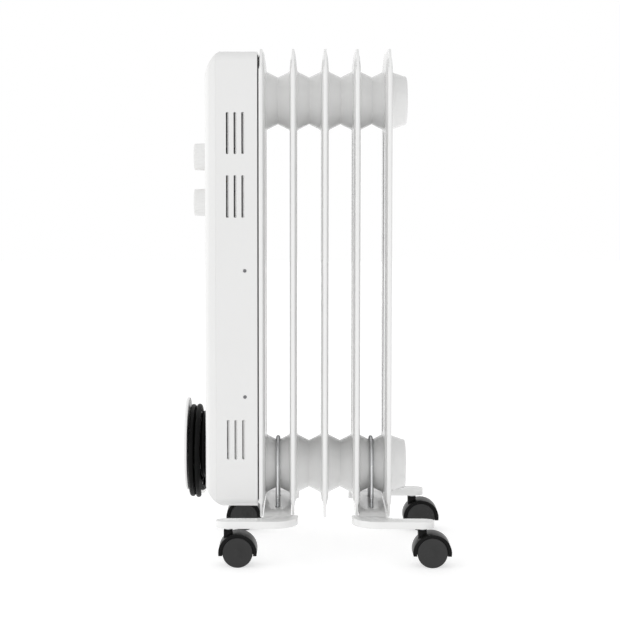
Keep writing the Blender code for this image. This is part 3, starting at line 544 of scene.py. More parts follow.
def lead_route():
    """Out of the gland, three turns on the spool, nearly two more over them, and out to the plug."""
    inner, outer = COIL_R
    points = [Vector((LANE_X, GLAND_MOUTH_Y + 0.0020, GLAND_Z)), Vector((LANE_X, GLAND_MOUTH_Y, GLAND_Z))]
    below = COIL_Z - GLAND_Z
    first = math.degrees(math.atan2(-below, GLAND_MOUTH_Y))
    rise = inner - math.hypot(below, GLAND_MOUTH_Y)
    steps = int((first - COIL_END) / (360 / TURN_POINTS))

    def step_at(angle, place):
        """Rises from 0 to 1 as the winding passes place degrees after its start."""
        return smoothstep((first - place + STEP_WINDOW / 2 - angle) / STEP_WINDOW)

    for i in range(1, steps + 1):
        angle = first + (COIL_END - first) * i / steps
        x = COIL_COLUMNS[0]
        for place, (a, b) in COLUMN_STEPS:
            x += (COIL_COLUMNS[b] - COIL_COLUMNS[a]) * step_at(angle, place)
        r = inner + (outer - inner) * step_at(angle, LAYER_STEP)
        r -= rise * (1 - smoothstep((first - angle) / RISE_TURN))
        a = math.radians(angle)
        wander = 0.00035 * math.sin(a * 0.37 + 1.0) + 0.0002 * math.sin(a * 2.3)
        x += 0.00030 * math.sin(a * 0.61)
        points.append(Vector((x, (r + wander * 0.3) * math.cos(a), COIL_Z + (r + wander) * math.sin(a))))
    leave, arrive = points[-1], Vector((PLUG_X, PLUG_Y, PLUG_FACE_Z + PLUG_LONG - 0.0002))
    way = (leave - points[-2]).normalized() * 0.052
    down = Vector((0, 0, -0.040))
    for k in range(1, RUN_OUT_POINTS + 1):
        t = k / RUN_OUT_POINTS
        points.append((2 * t ** 3 - 3 * t * t + 1) * leave + (t ** 3 - 2 * t * t + t) * way
                      + (3 * t * t - 2 * t ** 3) * arrive + (t ** 3 - t * t) * down)
    return points


def build_lead():
    route = lead_route()
    curve = bpy.data.curves.new("mains_lead", "CURVE")
    curve.dimensions = "3D"
    curve.bevel_depth = LEAD_R
    curve.bevel_resolution = 5
    curve.use_fill_caps = True
    spline = curve.splines.new("POLY")
    spline.points.add(len(route) - 1)
    for point, place in zip(spline.points, route):
        point.co = (*place, 1.0)
    curve.materials.append(SHEATH)
    lead = placed("mains_lead", curve)
    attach(lead, "heater")
    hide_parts("lead_coil", "lead_from_gland", "lead_to_plug")

    profile = [(0.0, PLUG_LONG), (0.0046, PLUG_LONG), (0.0049, PLUG_LONG - 0.0006)]
    for k in range(5):
        top = PLUG_LONG - 0.0012 - 0.0024 * k
        r = 0.0049 + 0.00035 * k
        profile += [(r + 0.0001, top), (r + 0.0003, top - 0.0010), (r - 0.0005, top - 0.0013),
                    (r - 0.0004, top - 0.0022)]
    profile += [(0.0068, 0.0208), (0.0082, 0.0196), (0.0100, 0.0180), (0.0111, 0.0164), (0.0115, 0.0148)]
    for k in range(3):
        z = 0.0128 - 0.0030 * k
        profile += [(0.0115, z), (0.0109, z - 0.0004), (0.0109, z - 0.0010), (0.0115, z - 0.0014)]
    profile += [(0.0115, 0.0020), (0.0112, 0.0008), (0.0103, 0.0), (0.0, 0.0)]
    body = turned(profile, (PLUG_X, PLUG_Y, PLUG_FACE_Z), (0, 0, 1), 56)
    plug = piece("mains_plug", body, SHEATH, "heater", "black_pvc", "power_plug", angle=28)
    blades = []
    for y in (-0.0063, 0.0063):
        outline = rounded_box(0.0064, 0.0158, 0.0012, PLUG_X, PLUG_FACE_Z - 0.0061, 4)
        blades.append(slab([outline, circle(0.0013, 16, PLUG_X, PLUG_FACE_Z - 0.0100)],
                           -PLUG_Y - y - 0.00075, -PLUG_Y - y + 0.00075, ALONG_Y))
    piece("plug_blades", together(blades), PRONG, "heater", "steel")

    long, rings = GLAND_Y + 0.008 - GLAND_MOUTH_Y, 7
    profile = [(0.0, long - 0.0004), (0.0046, long - 0.0001)]
    for k in range(rings):
        r, h = 0.0055 - 0.0009 * k / rings, long - (long - 0.0010) * k / rings
        profile += [(r, h - 0.0004), (r, h - 0.0020), (r - 0.0006, h - 0.0023), (r - 0.0006, h - 0.0031)]
    profile += [(0.0046, 0.0006), (0.0043, 0.0002), (0.0037, 0.0), (0.0, 0.0002)]
    relief = turned(profile, (LANE_X, GLAND_MOUTH_Y, GLAND_Z), (0, 1, 0), 40)
    relief = cut(relief, box(HOUSING_FRONT - GAP, HOUSING_FRONT + 0.01, -0.03, 0.03,
                             GLAND_Z - 0.02, GLAND_Z + 0.02))
    flange = softened(slab([rounded_box(0.0290, 0.0130, 0.0050, GLAND_Y - 0.0040, GLAND_Z, 8)],
                           HOUSING_FRONT - 0.0016, HOUSING_FRONT - GAP, ALONG_X), 0.0006, 2)
    gland = piece("lead_strain_relief", relief, SHEATH, "heater", "black_pvc", "cord_gland")
    piece("lead_gland_flange", flange, BLACK_NYLON, "heater", "black_plastic")


# ---------------------------------------- fins
def box_distance(y, z, half_y, half_z, radius, mid_z):
    """Distance inside a rounded rectangle's edge; negative outside."""
    qy, qz = abs(y) - half_y + radius, abs(z - mid_z) - half_z + radius
    outside = math.hypot(max(qy, 0.0), max(qz, 0.0))
    return radius - outside - min(max(qy, qz), 0.0)


TOP_SLOPE = 0.030             # the channels run out over this length below the top edge
FIN_MID, FIN_HALF_HIGH = (FIN_LOW + FIN_HIGH) / 2, (FIN_HIGH - FIN_LOW) / 2


def fin_half_thickness(y, z):
    """Half the fin's thickness: the welded rim, its rolled side hems and the two pressed channels."""
    inside = max(0.0, box_distance(y, z, FIN_HALF_DEPTH, FIN_HALF_HIGH, FIN_CORNER, FIN_MID))
    from_low, from_top = z - FIN_LOW, FIN_HIGH - z
    rolled = smoothstep((from_low - 0.019) / 0.005) * smoothstep((from_top - 0.0215) / 0.005)
    half = SEAM / 2
    if inside < HEM_WIDE:
        u = (inside - HEM_WIDE / 2) / (HEM_WIDE / 2)
        round_over = HEM_THICK / 2 * max(0.0, 1 - abs(u) ** 2.6) ** (1 / 2.2)
        flat = half * min(1.0, math.sqrt(inside / 0.0008))
        if inside < HEM_WIDE / 2:
            half = flat + (round_over - flat) * rolled
        else:
            half = max(half, round_over * rolled)
    channel = fin_edge_half_width(z) - CHANNEL_MARGIN - abs(y)
    web = box_distance(y, z, WEB_WIDE / 2, FIN_HALF_HIGH - WEB_SHORT, 0.007, FIN_MID)
    rise = smoothstep(channel / 0.0085) * smoothstep(-web / 0.0065 + 0.15)
    rise *= smoothstep((from_low - CHANNEL_SHORT) / 0.007)
    rise *= 1 - max(0.0, 1 - from_top / TOP_SLOPE) ** 2.2
    crown = 0.94 + 0.06 * smoothstep(channel / 0.024)
    return max(half, SEAM / 2 + (CHANNEL_THICK / 2 - SEAM / 2) * rise * crown)


def fin_columns():
    """Grid lines across the fin, from its edges inwards, closest where its section bends."""
    near = [0.0, 0.25, 0.7, 1.3, 2.1, 3.2, 4.3, 5.1, 5.7, 6.1, 6.4, 7.4]
    outer = [75.0 - d for d in near]
    inner = [0, 3, 5.5, 7.5, 9, 10.5, 12, 14, 18, 22, 26, 30, 34, 38, 42, 45, 47.5, 49.5, 51, 52.5, 54, 55.5, 57.5,
             60.5, 64]
    half = sorted(set(inner + outer))
    return [y / 1000 for y in [-v for v in half[:0:-1]] + half]


def fin_rows():
    """Grid lines up the fin, closer at its ends and round the collars."""
    ends = [0, 0.25, 0.7, 1.4, 2.4, 3.6, 5.0, 6.6, 8.4, 10.4, 12.5, 14.6, 16.6, 18.4, 20.2, 22.2, 24.4, 27.0]
    high = (FIN_HIGH - FIN_LOW) * 1000
    middle, z = [], 27.0
    while z < high - 31.0:
        near_collar = min(abs(z + 50 - c * 1000) for c in COLLAR_Z) < 62
        z += 4.0 if near_collar else 9.0
        middle.append(z)
    middle = [m for m in middle if m < high - 29.5]
    return [FIN_LOW + v / 1000 for v in ends + middle + [high - e for e in ends[::-1]]]


def fin_edge_half_width(z):
    from_end = min(z - FIN_LOW, FIN_HIGH - z)
    if from_end >= FIN_CORNER:
        return FIN_HALF_DEPTH
    up = FIN_CORNER - from_end
    return FIN_HALF_DEPTH - FIN_CORNER + math.sqrt(max(0.0, FIN_CORNER ** 2 - up * up))


COLLAR_FOOT_R, NECK_FOOT_R = 0.0415, 0.0330


def collar_rings(kind):
    """(radius, distance from the fin's middle plane) from the foot to the mouth."""
    if kind == "cone":
        slope = (COLLAR_ROOT_R - COLLAR_WAIST_R) / PITCH_HALF
        rings = [(0.0400, 0.00455), (0.0388, 0.0048), (0.0378, 0.0053), (0.0369, 0.0061)]
        rings += [(COLLAR_ROOT_R - slope * x - 0.0001, x) for x in (0.0078, 0.0110, 0.0150, 0.0180, PITCH_HALF)]
        rings += [(0.0280, PITCH_HALF - 0.0001), (0.0262, PITCH_HALF - 0.0006)]
        return rings
    return [(0.0300, 0.0046), (0.0262, 0.0052), (0.0240, 0.0064), (0.0229, 0.0082), (NECK_R, 0.0105),
            (NECK_R, 0.0180), (NECK_R - 0.0003, 0.0187), (NECK_R - 0.0010, NECK_REACH), (0.0188, NECK_REACH)]


def fin_mesh(left, right):
    """One pressed fin about X = 0, with a cone, a neck or nothing on each side."""
    columns, rows = fin_columns(), fin_rows()
    straight = 0.040
    bm = bmesh.new()
    rims = []
    for side, kind in ((-1, left), (1, right)):
        grid = []
        for z in rows:
            width = fin_edge_half_width(z)
            line = []
            for y in columns:
                size = abs(y)
                if size > straight:
                    size = straight + (size - straight) * (width - straight) / (FIN_HALF_DEPTH - straight)
                line.append([math.copysign(size, y), z])
            grid.append(line)
        foot = COLLAR_FOOT_R if kind == "cone" else NECK_FOOT_R
        within = {}
        if kind != "plain":
            for centre in COLLAR_Z:
                for j, line in enumerate(grid):
                    for i, (y, z) in enumerate(line):
                        if math.hypot(y, z - centre) < foot:
                            within[(j, i)] = centre
        verts = {}

        def vert(j, i):
            if (j, i) not in verts:
                y, z = grid[j][i]
                verts[(j, i)] = bm.verts.new((side * fin_half_thickness(y, z), y, z))
            return verts[(j, i)]

        holes = {}
        faces = []
        for j in range(len(rows) - 1):
            for i in range(len(columns) - 1):
                corners = [(j, i), (j, i + 1), (j + 1, i + 1), (j + 1, i)]
                centres = {within[c] for c in corners if c in within}
                if centres:
                    holes.setdefault(min(centres), set()).update(c for c in corners if c not in within)
                else:
                    faces.append(corners)
        used = {c for corners in faces for c in corners}
        loops = []
        for centre, members in holes.items():
            ring = []
            for c in members & used:
                y, z = grid[c[0]][c[1]]
                a = math.atan2(z - centre, y)
                grid[c[0]][c[1]] = [foot * math.cos(a), centre + foot * math.sin(a)]
                ring.append((a, c))
            ring.sort()
            loops.append((centre, ring))
        for corners in faces:
            bm.faces.new([vert(*c) for c in corners])
        for centre, ring in loops:
            last = [verts[c] for a, c in ring]
            for radius, reach in collar_rings(kind):
                row = []
                for (a, c), below in zip(ring, last):
                    x = max(reach, abs(below.co.x)) if radius > COLLAR_ROOT_R - 0.0019 else reach
                    row.append(bm.verts.new((side * x, radius * math.cos(a), centre + radius * math.sin(a))))
                for k in range(len(row)):
                    m = (k + 1) % len(row)
                    bm.faces.new((last[k], last[m], row[m], row[k]))
                last = row
            middle = bm.verts.new((last[0].co.x, 0.0, centre))
            for k in range(len(last)):
                bm.faces.new((last[k], last[(k + 1) % len(last)], middle))
        edge = [(j, 0) for j in range(len(rows))] + [(len(rows) - 1, i) for i in range(1, len(columns))]
        edge += [(j, len(columns) - 1) for j in range(len(rows) - 2, -1, -1)]
        edge += [(0, i) for i in range(len(columns) - 2, 0, -1)]
        rims.append([vert(*c) for c in edge])
    for k in range(len(rims[0])):
        m = (k + 1) % len(rims[0])
        bm.faces.new((rims[0][k], rims[0][m], rims[1][m], rims[1][k]))
    bmesh.ops.remove_doubles(bm, verts=bm.verts, dist=1e-6)
    bmesh.ops.dissolve_degenerate(bm, edges=bm.edges, dist=1e-6)
    bmesh.ops.recalc_face_normals(bm, faces=bm.faces)
    mesh = bpy.data.meshes.new("fin")
    bm.to_mesh(mesh)
    bm.free()
    return mesh


def build_fins():
    shapes = {"first": fin_mesh("neck", "cone"), "middle": fin_mesh("cone", "cone"),
              "last": fin_mesh("cone", "plain")}
    for i, x in enumerate(FIN_X):
        kind = "first" if i == 0 else "last" if i == 4 else "middle"
        piece(f"pressed_fin_{i + 1}", moved(shapes[kind], x), WHITE_COAT, "heater", "white_enamel",
              f"fin_{i + 1}", angle=50)
    foot = CHANNEL_THICK / 2 + GAP
    top, edge = END_CAP_REACH, 0.0034
    profile = [(0.0, top - 0.0004), (0.0120, top - 0.0002), (END_CAP_R - edge, top)]
    profile += arc(END_CAP_R - edge, top - edge, edge, edge, 75, 15, 4)
    profile += [(END_CAP_R + 0.0001, top - 0.0050), (0.0338, 0.0140), (0.0352, 0.0092), (0.0360, 0.0074),
                (0.0368, 0.0063), (0.0375, foot + 0.0002), (0.0375, foot), (0.0345, foot), (0.0, foot + 0.0001)]
    for name, z in zip(("lower", "upper"), COLLAR_Z):
        piece(f"gallery_cap_{name}", turned(profile, (FIN_X[-1], 0, z), (1, 0, 0), 96), WHITE_COAT, "heater",
              "white_enamel", f"end_cap_{name}", angle=50)


# ---------------------------------------- control housing
def housing_block(inset):
    """The housing's outer form, or its inside, open at the back, when inset by a wall."""
    x0, x1 = HOUSING_FRONT + inset, HOUSING_BACK + 2 * inset
    z0, z1 = HOUSING_LOW + inset, HOUSING_HIGH - inset
    half = HOUSING_HALF - inset
    (ta, tb), (ba, bb) = TOP_CORNER, BOTTOM_CORNER
    ta, tb, ba, bb = ta - inset, tb - inset, ba - inset, bb - inset
    side = ([(x1, z0), (x1, z1)] + flat_corner(x0 + ta, z1 - tb, ta, tb, 90, 180, 24)
            + flat_corner(x0 + ba, z0 + bb, ba, bb, 180, 270, 24))
    edge = PANEL_EDGE_R - inset
    plan = ([(x1, -half), (x1, half)] + arc(x0 + edge, half - edge, edge, edge, 90, 180, 14)
            + arc(x0 + edge, -half + edge, edge, edge, 180, 270, 14))
    section = rounded_box(2 * half, z1 - z0, LONG_EDGE_R - inset, 0, (z0 + z1) / 2, 12)
    spare = 0.01
    return common(slab([side], -half - spare, half + spare, ALONG_Y),
                  slab([plan], z0 - spare, z1 + spare, ALONG_Z),
                  slab([section], x0 - spare, x1 + spare, ALONG_X))


VENT_WIDE = 0.0038
SHELL_WALL = 0.0030
PAD_WALL = 0.0062             # the wall behind the vents


def louvre_cutters():
    """Each vent is a narrow slot at its front edge, with the sheet sloping back up behind it."""
    through, slopes = [], []
    for (low, high), mouth_wide, back in zip(VENT_BANDS, VENT_MOUTHS, VENT_SHIFTS):
        for offset in VENT_FROM_FRONT:
            x0 = HOUSING_FRONT + offset - VENT_WIDE / 2 + back
            middle = (low + high) / 2
            mouth = rounded_box(mouth_wide, high - low - 0.0008, mouth_wide / 2 - 0.00001,
                                x0 + mouth_wide / 2, middle)
            through.append(slab([mouth], -HOUSING_HALF - 0.01, HOUSING_HALF + 0.01, ALONG_Y))
            for side in (-1, 1):
                rings = []
                for shrink, depth in ((0.0, -0.0005), (0.0, 0.0), (0.35, 0.0016), (0.75, 0.0034), (0.93, 0.0046)):
                    wide = VENT_WIDE - (VENT_WIDE - mouth_wide) * shrink * 1.05
                    tall = high - low - 0.0010 * shrink
                    outline = rounded_box(wide, tall, wide / 2 - 0.00002, x0 + wide / 2, middle)
                    rings.append([(u, side * (HOUSING_HALF - depth), v) for u, v in outline])
                slopes.append(loft(rings))
    return through, slopes


def build_housing():
    far, lap = 0.05, 0.003        # shell and panel overlap by lap until their edges have been softened
    outer = cut(housing_block(0.0), box(HOUSING_FRONT - far, PANEL_BACK - lap, -0.1, 0.1, 0.0, 1.0))
    shell = cut(outer, housing_block(SHELL_WALL))
    pads = []
    for low, high in VENT_BANDS:
        for side in (-1, 1):
            inner, skin = sorted((side * (HOUSING_HALF - PAD_WALL), side * (HOUSING_HALF - SHELL_WALL / 2)))
            pads.append(box(HOUSING_FRONT + 0.0235, HOUSING_FRONT + 0.0507, inner, skin,
                            low - 0.004, high + 0.004))
    shell = union(shell, together(pads))
    through, slopes = louvre_cutters()
    seat = [(0.0, 0.0), (0.0023, 0.0), (0.0023, 0.0030), (0.0027, 0.0034), (0.0027, 0.0060), (0.0, 0.0060)]
    holes = [turned(seat, (SIDE_SCREW_X, side * (HOUSING_HALF - 0.0031), z), (0, side, 0), 24)
             for side in (-1, 1) for z in SIDE_SCREW_Z]
    shell = cut(shell, together(through + holes), together(slopes))
    shell = cut(softened(shell, 0.0004, 2, 40), box(HOUSING_FRONT - far, PANEL_BACK, -0.1, 0.1, 0.0, 1.0))
    piece("formed_housing", shell, WHITE_HOUSING, "heater", "white_enamel", "housing_shell", angle=35, even=True)

    panel = cut(housing_block(0.0), housing_block(0.0024),
                box(PANEL_BACK + lap, HOUSING_BACK + far, -0.1, 0.1, 0.0, 1.0))
    fascia = rounded_box(0.062, 0.128, 0.018, 0, LAMP_Z, 10)
    inner = rounded_box(0.060, 0.126, 0.017, 0, LAMP_Z, 10)
    groove = slab([fascia, inner], HOUSING_FRONT - 0.001, HOUSING_FRONT + 0.0007, ALONG_X)
    lamp = rod((HOUSING_FRONT - 0.01, 0, LAMP_Z), (PANEL_BACK, 0, LAMP_Z), 0.0038, steps=32)
    through = [rod((HOUSING_FRONT - 0.01, 0, z), (PANEL_BACK, 0, z), 0.0042, steps=32) for z in KNOB_Z.values()]
    gland = rod((HOUSING_FRONT - 0.01, GLAND_Y, GLAND_Z), (PANEL_BACK, GLAND_Y, GLAND_Z), 0.0052, steps=24)
    panel = cut(panel, together(through + [lamp, gland, groove]))
    panel = cut(softened(panel, 0.00025, 2, 40), box(PANEL_BACK - 0.00005, 0.0, -0.1, 0.1, 0.0, 1.0))
    piece("moulded_front_panel", panel, WHITE_ABS, "heater", "white_plastic", "front_panel", angle=35, even=True)
    build_dial_marks()


def build_dial_marks():
    """Ticks of growing width round the thermostat, and plain dots at the selector's steps."""
    marks = []
    face, deep = HOUSING_FRONT - 0.00012, 0.0003
    radius, z = 0.0212, KNOB_Z["thermostat"]
    for k in range(13):
        angle = math.radians(225 - 270 * k / 12)
        long, wide = 0.0016 + 0.00012 * k, 0.0005 + 0.00003 * k
        mark = slab([rounded_box(long, wide, wide / 2.2, 0, 0, 3)], 0.0, deep)
        turn = Matrix.Translation((face, -radius * math.cos(angle), z + radius * math.sin(angle)))
        turn = turn @ Matrix(((0, 0, 1), (-1, 0, 0), (0, 1, 0))).to_4x4() @ Matrix.Rotation(angle, 4, "Z")
        mark.transform(turn)
        marks.append(mark)
    radius, z = 0.0214, KNOB_Z["selector"]
    for k in range(4):
        angle = math.radians(90 - 90 * k)
        y, up = -radius * math.cos(angle), z + radius * math.sin(angle)
        marks.append(rod((face, y, up), (face + deep, y, up), 0.0007 + 0.0002 * k, steps=20))
    piece("dial_marks", together(marks), PRINT_GREY, "heater", "black_plastic")


def build_knobs():
    lift = 0.0006                 # the gap under the knobs
    foot, deep = HOUSING_FRONT - lift, KNOB_PROUD - lift
    flutes, flute_deep, steps = 24, 0.00034, 240
    for kind, z in KNOB_Z.items():
        skirt = [(0.0004, 0.0), (KNOB_R, 0.0), (KNOB_R, 0.0012), (KNOB_R - 0.0002, 0.0016),
                 (KNOB_R - 0.0003, 0.0020)]
        grip = [(KNOB_R - 0.0003, 0.0028), (KNOB_R - 0.0004, 0.0080), (KNOB_R - 0.0006, 0.0130),
                (KNOB_R - 0.0008, deep - 0.0016)]
        round_over = [(KNOB_R - 0.0011, deep - 0.0007), (KNOB_R - 0.0018, deep - 0.0002), (KNOB_R - 0.0030, deep)]
        crown = [(KNOB_R - 0.0052, deep), (KNOB_R - 0.0060, deep - 0.0005), (0.0060, deep - 0.0006),
                 (0.0, deep - 0.0006)]
        verts, faces = [], []
        full = [(r, h, fluted) for part, fluted in ((skirt, 0), (grip, 1), (round_over, 0.3), (crown, 0))
                for r, h in part]
        count = len(full)
        for i in range(steps):
            a = math.tau * i / steps
            flute = flute_deep * (0.5 - 0.5 * math.cos(a * flutes)) ** 2
            for r, h, fluted in full:
                radius = r - flute * fluted
                verts.append((foot - h, radius * math.cos(a), z + radius * math.sin(a)))
        for i in range(steps):
            j = (i + 1) % steps
            for k in range(count - 1):
                faces.append((i * count + k, j * count + k, j * count + k + 1, i * count + k + 1))
        faces.append(tuple(i * count for i in range(steps)))
        body = mesh_of(verts, faces)
        face = foot - deep
        bar = slab([rounded_box(0.0052, 0.0212, 0.0025, 0, z, 6)], face + 0.0001, face + 0.0012, ALONG_X)
        bar = softened(bar, 0.0004, 2)
        mark = rounded_box(0.0013, 0.0068, 0.0006, 0, z + 0.0062, 4)
        mark = slab([mark], face - 0.00002, face + 0.0004, ALONG_X)
        child = f"{kind}_control"
        piece(f"{kind}_grip_knob", together([body, bar]), KNOB_ABS, child, "white_plastic", f"{kind}_knob",
              angle=40)
        piece(f"{kind}_pointer", mark, PRINT_GREY, child, "black_plastic")


def build_wrap():
    """Open spool: hub with a dished middle, ribs inside it and a flat round flange."""
    reach = 0.0284
    rim_r, hub, wall = 0.0595, 0.0330, 0.0020
    mouth = reach - 0.0040
    profile = [(hub - wall, reach - 0.0010), (hub - wall + 0.0006, reach - 0.0003), (hub - wall + 0.0016, reach),
               (rim_r - 0.0035, reach), (rim_r - 0.0016, reach - 0.0003), (rim_r - 0.0005, reach - 0.0010),
               (rim_r, reach - 0.0022), (rim_r - 0.0002, mouth + 0.0006), (rim_r - 0.0010, mouth + 0.0001),
               (rim_r - 0.0026, mouth + 0.0007), (hub + 0.0040, mouth + 0.0007), (hub + 0.0012, mouth + 0.0003),
               (hub + 0.0002, mouth - 0.0008), (hub, mouth - 0.0030), (hub, 0.0), (0.0, 0.0), (0.0, 0.0022),
               (hub - wall - 0.0030, 0.0022), (hub - wall - 0.0008, 0.0030), (hub - wall, 0.0050)]
    spool = turned(profile, (HOUSING_FRONT - GAP, 0, WRAP_Z), (-1, 0, 0), 128, closed=True)
    ribs = []
    for k in range(6):
        angle = math.tau * k / 6 + 0.3
        rib = box(-0.0009, 0.0009, hub - wall - 0.0065, hub - wall + 0.0005, 0.0020, reach - 0.0060)
        place = Matrix.Translation((HOUSING_FRONT - GAP, 0, WRAP_Z)) @ Matrix.Rotation(-math.pi / 2, 4, "Y")
        rib.transform(place @ Matrix.Rotation(angle, 4, "Z"))
        ribs.append(rib)
    piece("moulded_cord_wrap", union(spool, together(ribs)), WHITE_ABS, "heater", "white_plastic", "cord_wrap",
          angle=38)


# ---------------------------------------- feet
def bracket_outline(inset):
    saddle, fillet = 0.0170 - inset, 0.010 + inset
    inner, outer = ARM_Y - ARM_HALF + inset, ARM_Y + ARM_HALF - inset
    side, bend = 0.0265 - inset, BEND_R - inset
    flare = 0.0705 + inset
    half = [(saddle, 0.0)]
    half += arc(saddle + fillet, inner - fillet, fillet, fillet, 180, 90, 8)
    half += arc(STEM_OFFSET, ARM_Y, ARM_END - inset, ARM_HALF - inset, -90, 90, 20)
    half += arc(bend - side, outer - bend, bend, bend, 90, 180, 16)
    half += [(-side, flare + 0.002), (-side + 0.002, flare), (-saddle - 0.002, flare), (-saddle, flare - 0.002)]
    return half + [(x, -y) for x, y in reversed(half)][:-1]


def bracket_block(inset, low):
    arms = slab([bracket_outline(inset)], low, BRACKET_TOP - inset)
    flat, foot = 0.0675 - inset, 0.0795 - inset
    top, skirt = SADDLE_TOP - inset, BRACKET_TOP - inset - 0.001
    raised = [(-foot, low), (foot, low), (foot, skirt), (flat, top), (-flat, top), (-foot, skirt)]
    half = 0.0170 - inset - 0.0004
    return union(arms, slab([raised], -half, half, ALONG_X))


def build_brackets():
    wall = 0.0020
    pressed = cut(bracket_block(0.0, BRACKET_LOW), bracket_block(wall, BRACKET_LOW - 0.002))
    pressed = softened(pressed, 0.0009, 3, 40)
    bosses, holes = [], []
    x = STEM_OFFSET
    for y, leg in ((-ARM_Y, -U_BOLT_LEG), (ARM_Y, U_BOLT_LEG)):
        bosses.append(rod((x, y, BRACKET_LOW), (x, y, BRACKET_TOP - 0.001), 0.0070, steps=32))
        holes.append(rod((x, y, BRACKET_LOW - 0.001), (x, y, BRACKET_TOP - wall), 0.0051, steps=32))
        holes.append(rod((0, leg, BRACKET_LOW), (0, leg, SADDLE_TOP + 0.001), 0.0036, steps=24))
    rear = cut(union(pressed, *bosses), together(holes))
    for row, mesh in (("rear", rear), ("front", mirrored_x(rear))):
        piece(f"pressed_foot_bracket_{row}", moved(mesh, GAP_X[row]), WHITE_COAT, "heater", "white_enamel",
              f"foot_bracket_{row}", angle=40)


def build_u_bolts():
    axis_z = COLLAR_Z[0]
    low, thread_top = 0.0470, 0.0700
    pitch = 0.0010
    for row, x in GAP_X.items():
        route, radii = [], []
        z = low
        while z < thread_top:
            phase = (z - low) / pitch % 1.0
            route.append((x, -U_BOLT_LEG, z))
            radii.append(U_BOLT_R - 0.00040 * abs(2 * phase - 1) - (0.0006 if z < low + 0.0006 else 0))
            z += pitch / 4
        bend = [(x, y, up) for y, up in arc(0, axis_z, U_BOLT_LEG, U_BOLT_LEG, 180, 0, 40)]
        plain = axis_z - thread_top - 0.002
        straight = [(x, -U_BOLT_LEG, thread_top + 0.0006 + plain * k / 6) for k in range(7)]
        route += straight
        radii += [U_BOLT_R] * len(straight)
        whole = route + bend + [(x, -y, up) for x, y, up in reversed(route)]
        whole_radii = radii + [U_BOLT_R] * len(bend) + radii[::-1]
        piece(f"threaded_u_bolt_{row}", sweep(whole, whole_radii, 24), CHROME, "heater", "chrome",
              f"u_bolt_{row}", angle=60)


def build_wing_nuts():
    nut_top = SADDLE_TOP - 0.0020 - GAP
    for row, x in GAP_X.items():
        for side, word in ((-1, "left"), (1, "right")):
            y = side * U_BOLT_LEG
            profile = [(U_BOLT_R, 0.0), (0.0042, 0.0), (0.0046, 0.0004), (0.0052, 0.0048), (0.0050, 0.0056),
                       (0.0044, 0.0060), (U_BOLT_R, 0.0060)]
            hub = turned(profile, (x, y, nut_top), (0, 0, -1), 40, closed=True)
            wings = []
            for way in (-1, 1):
                outline = [(way * 0.0036, -0.0008), (way * 0.0036, -0.0052)]
                outline += [(way * u, v) for u, v in arc(0.0084, -0.0052, 0.0030, 0.0031, -150, 75, 12)]
                mesh = slab([[(x + u, nut_top + v) for u, v in outline]], -y - 0.0009, -y + 0.0009, ALONG_Y)
                wings.append(softened(mesh, 0.0004, 2))
            piece(f"pressed_wing_nut_{row}_{word}", union(hub, *wings), ZINC, "heater", "steel",
                  f"wing_nut_{row}_{word}", angle=40)


# ---------------------------------------- castors
def castor_hood():
    """The hood with its axle hub and the block under the bracket, about the stem's axis."""
    outline = arc(TRAIL, WHEEL_R, HOOD_R, HOOD_RISE, -10, 190, 48)
    hood = softened(slab([outline], -HOOD_HALF, HOOD_HALF, ALONG_Y), 0.0007, 3, 50)
    web = WHEEL_INNER - 0.0004
    hub = rod((TRAIL, -web, WHEEL_R), (TRAIL, web, WHEEL_R), 0.0070)
    b, top = STEM_BLOCK / 2, BRACKET_LOW - GAP
    block = softened(box(-b, b, -b, b, WHEEL_R + 0.012, top - 0.0018), 0.0006, 2)
    spaces = [rod((TRAIL, side * web, WHEEL_R), (TRAIL, side * (HOOD_HALF + 0.001), WHEEL_R),
                  HOOD_R - HOOD_WALL, steps=72) for side in (-1, 1)]
    axle_hole = rod((TRAIL, -0.01, WHEEL_R), (TRAIL, 0.01, WHEEL_R), 0.0028)
    return cut(union(hood, hub, block), *spaces, axle_hole)


def castor_stem():
    top = BRACKET_TOP - 0.0023
    low = BRACKET_LOW - GAP - 0.0024
    profile = [(0.0, low), (0.0048, low), (0.0048, top - 0.0008), (0.0040, top), (0.0, top)]
    return turned(profile, (0, 0, 0), (0, 0, 1), 32)


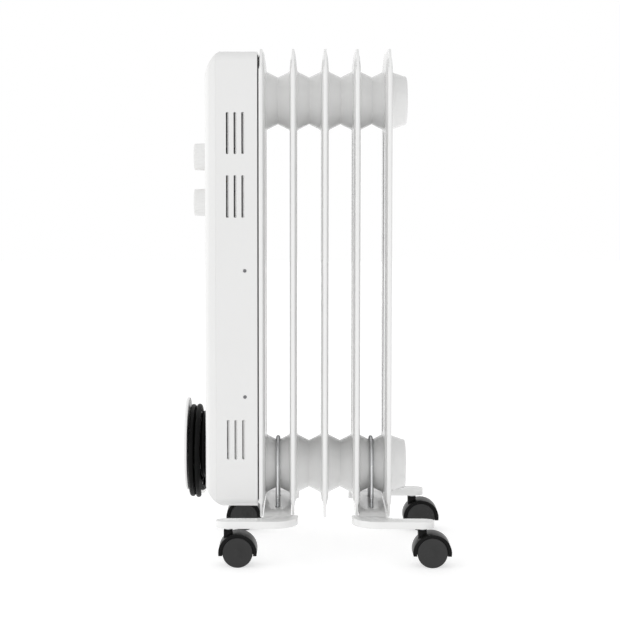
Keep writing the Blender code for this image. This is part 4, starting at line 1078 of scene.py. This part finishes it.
def castor_wheel(side):
    """A wheel with rounded shoulders, a plain disc and a faint ring round its hub."""
    t, r = WHEEL_THICK, WHEEL_R
    profile = [(0.0, t), (0.0044, t), (0.0047, t - 0.0002), (0.0150, t - 0.0002), (r - 0.0012, t - 0.0001),
               (r - 0.0004, t - 0.0002), (r - 0.0001, t - 0.0005), (r, t - 0.0010), (r, t - 0.0034),
               (r, 0.0030), (r - 0.0002, 0.0016), (r - 0.0008, 0.0006), (r - 0.0020, 0.0001), (r - 0.0034, 0.0),
               (0.0028, 0.0), (0.0028, t - 0.003), (0.0, t - 0.003)]
    return turned(profile, (TRAIL, side * WHEEL_INNER, WHEEL_R), (0, side, 0), 72)


def build_castors():
    hood, stem = castor_hood(), castor_stem()
    wheels = {side: castor_wheel(side) for side in (-1, 1)}
    for row, gap_x in GAP_X.items():
        for side, word in ((-1, "left"), (1, "right")):
            x, y = gap_x + ARM_SIGN[row] * STEM_OFFSET, side * ARM_Y
            name = f"castor_{row}_{word}"
            piece(f"{name}_shell", moved(hood, x, y), BLACK_NYLON, name, "black_plastic", f"{name}_hood", angle=35)
            piece(f"{name}_stem_pin", moved(stem, x, y), ZINC, name, "steel")
            for wheel_side, letter in ((-1, "a"), (1, "b")):
                wheel = moved(wheels[wheel_side], x, y)
                piece(f"{name}_tread_wheel_{letter}", wheel, BLACK_TYRE, f"{name}_wheel_{letter}", "black_plastic",
                      f"{name}_wheel_{letter}", angle=40)


# ---------------------------------------- CAD nodes that stay
def finish_cad_nodes():
    axles = [f"castor_{row}_{word}_axle" for row in GAP_X for word in ("left", "right")]
    finishes = [
        (ZINC, ["heating_element", "element_flange", "oil_filler_plug", "control_plate", "thermostat_shaft",
                "selector_shaft", "tip_over_pendulum", "thermal_cutout", *axles]),
        (DARK_ZINC, [f"side_screw_{i}" for i in range(1, 5)]),
        (BLACK_NYLON, ["thermostat_body", "selector_switch", "tip_over_switch"]),
        (WHITE_HOUSING, ["housing_back_plate"]), (WHITE_ABS, ["terminal_block"]),
        (GASKET, ["element_gasket"]), (AMBER, ["indicator_lamp"])]
    for material, nodes in finishes:
        for node in nodes:
            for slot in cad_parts[node].material_slots:
                slot.material = material


build_camera()
build_studio()
build_lead()
build_fins()
build_housing()
build_knobs()
build_wrap()
build_brackets()
build_u_bolts()
build_wing_nuts()
build_castors()
finish_cad_nodes()
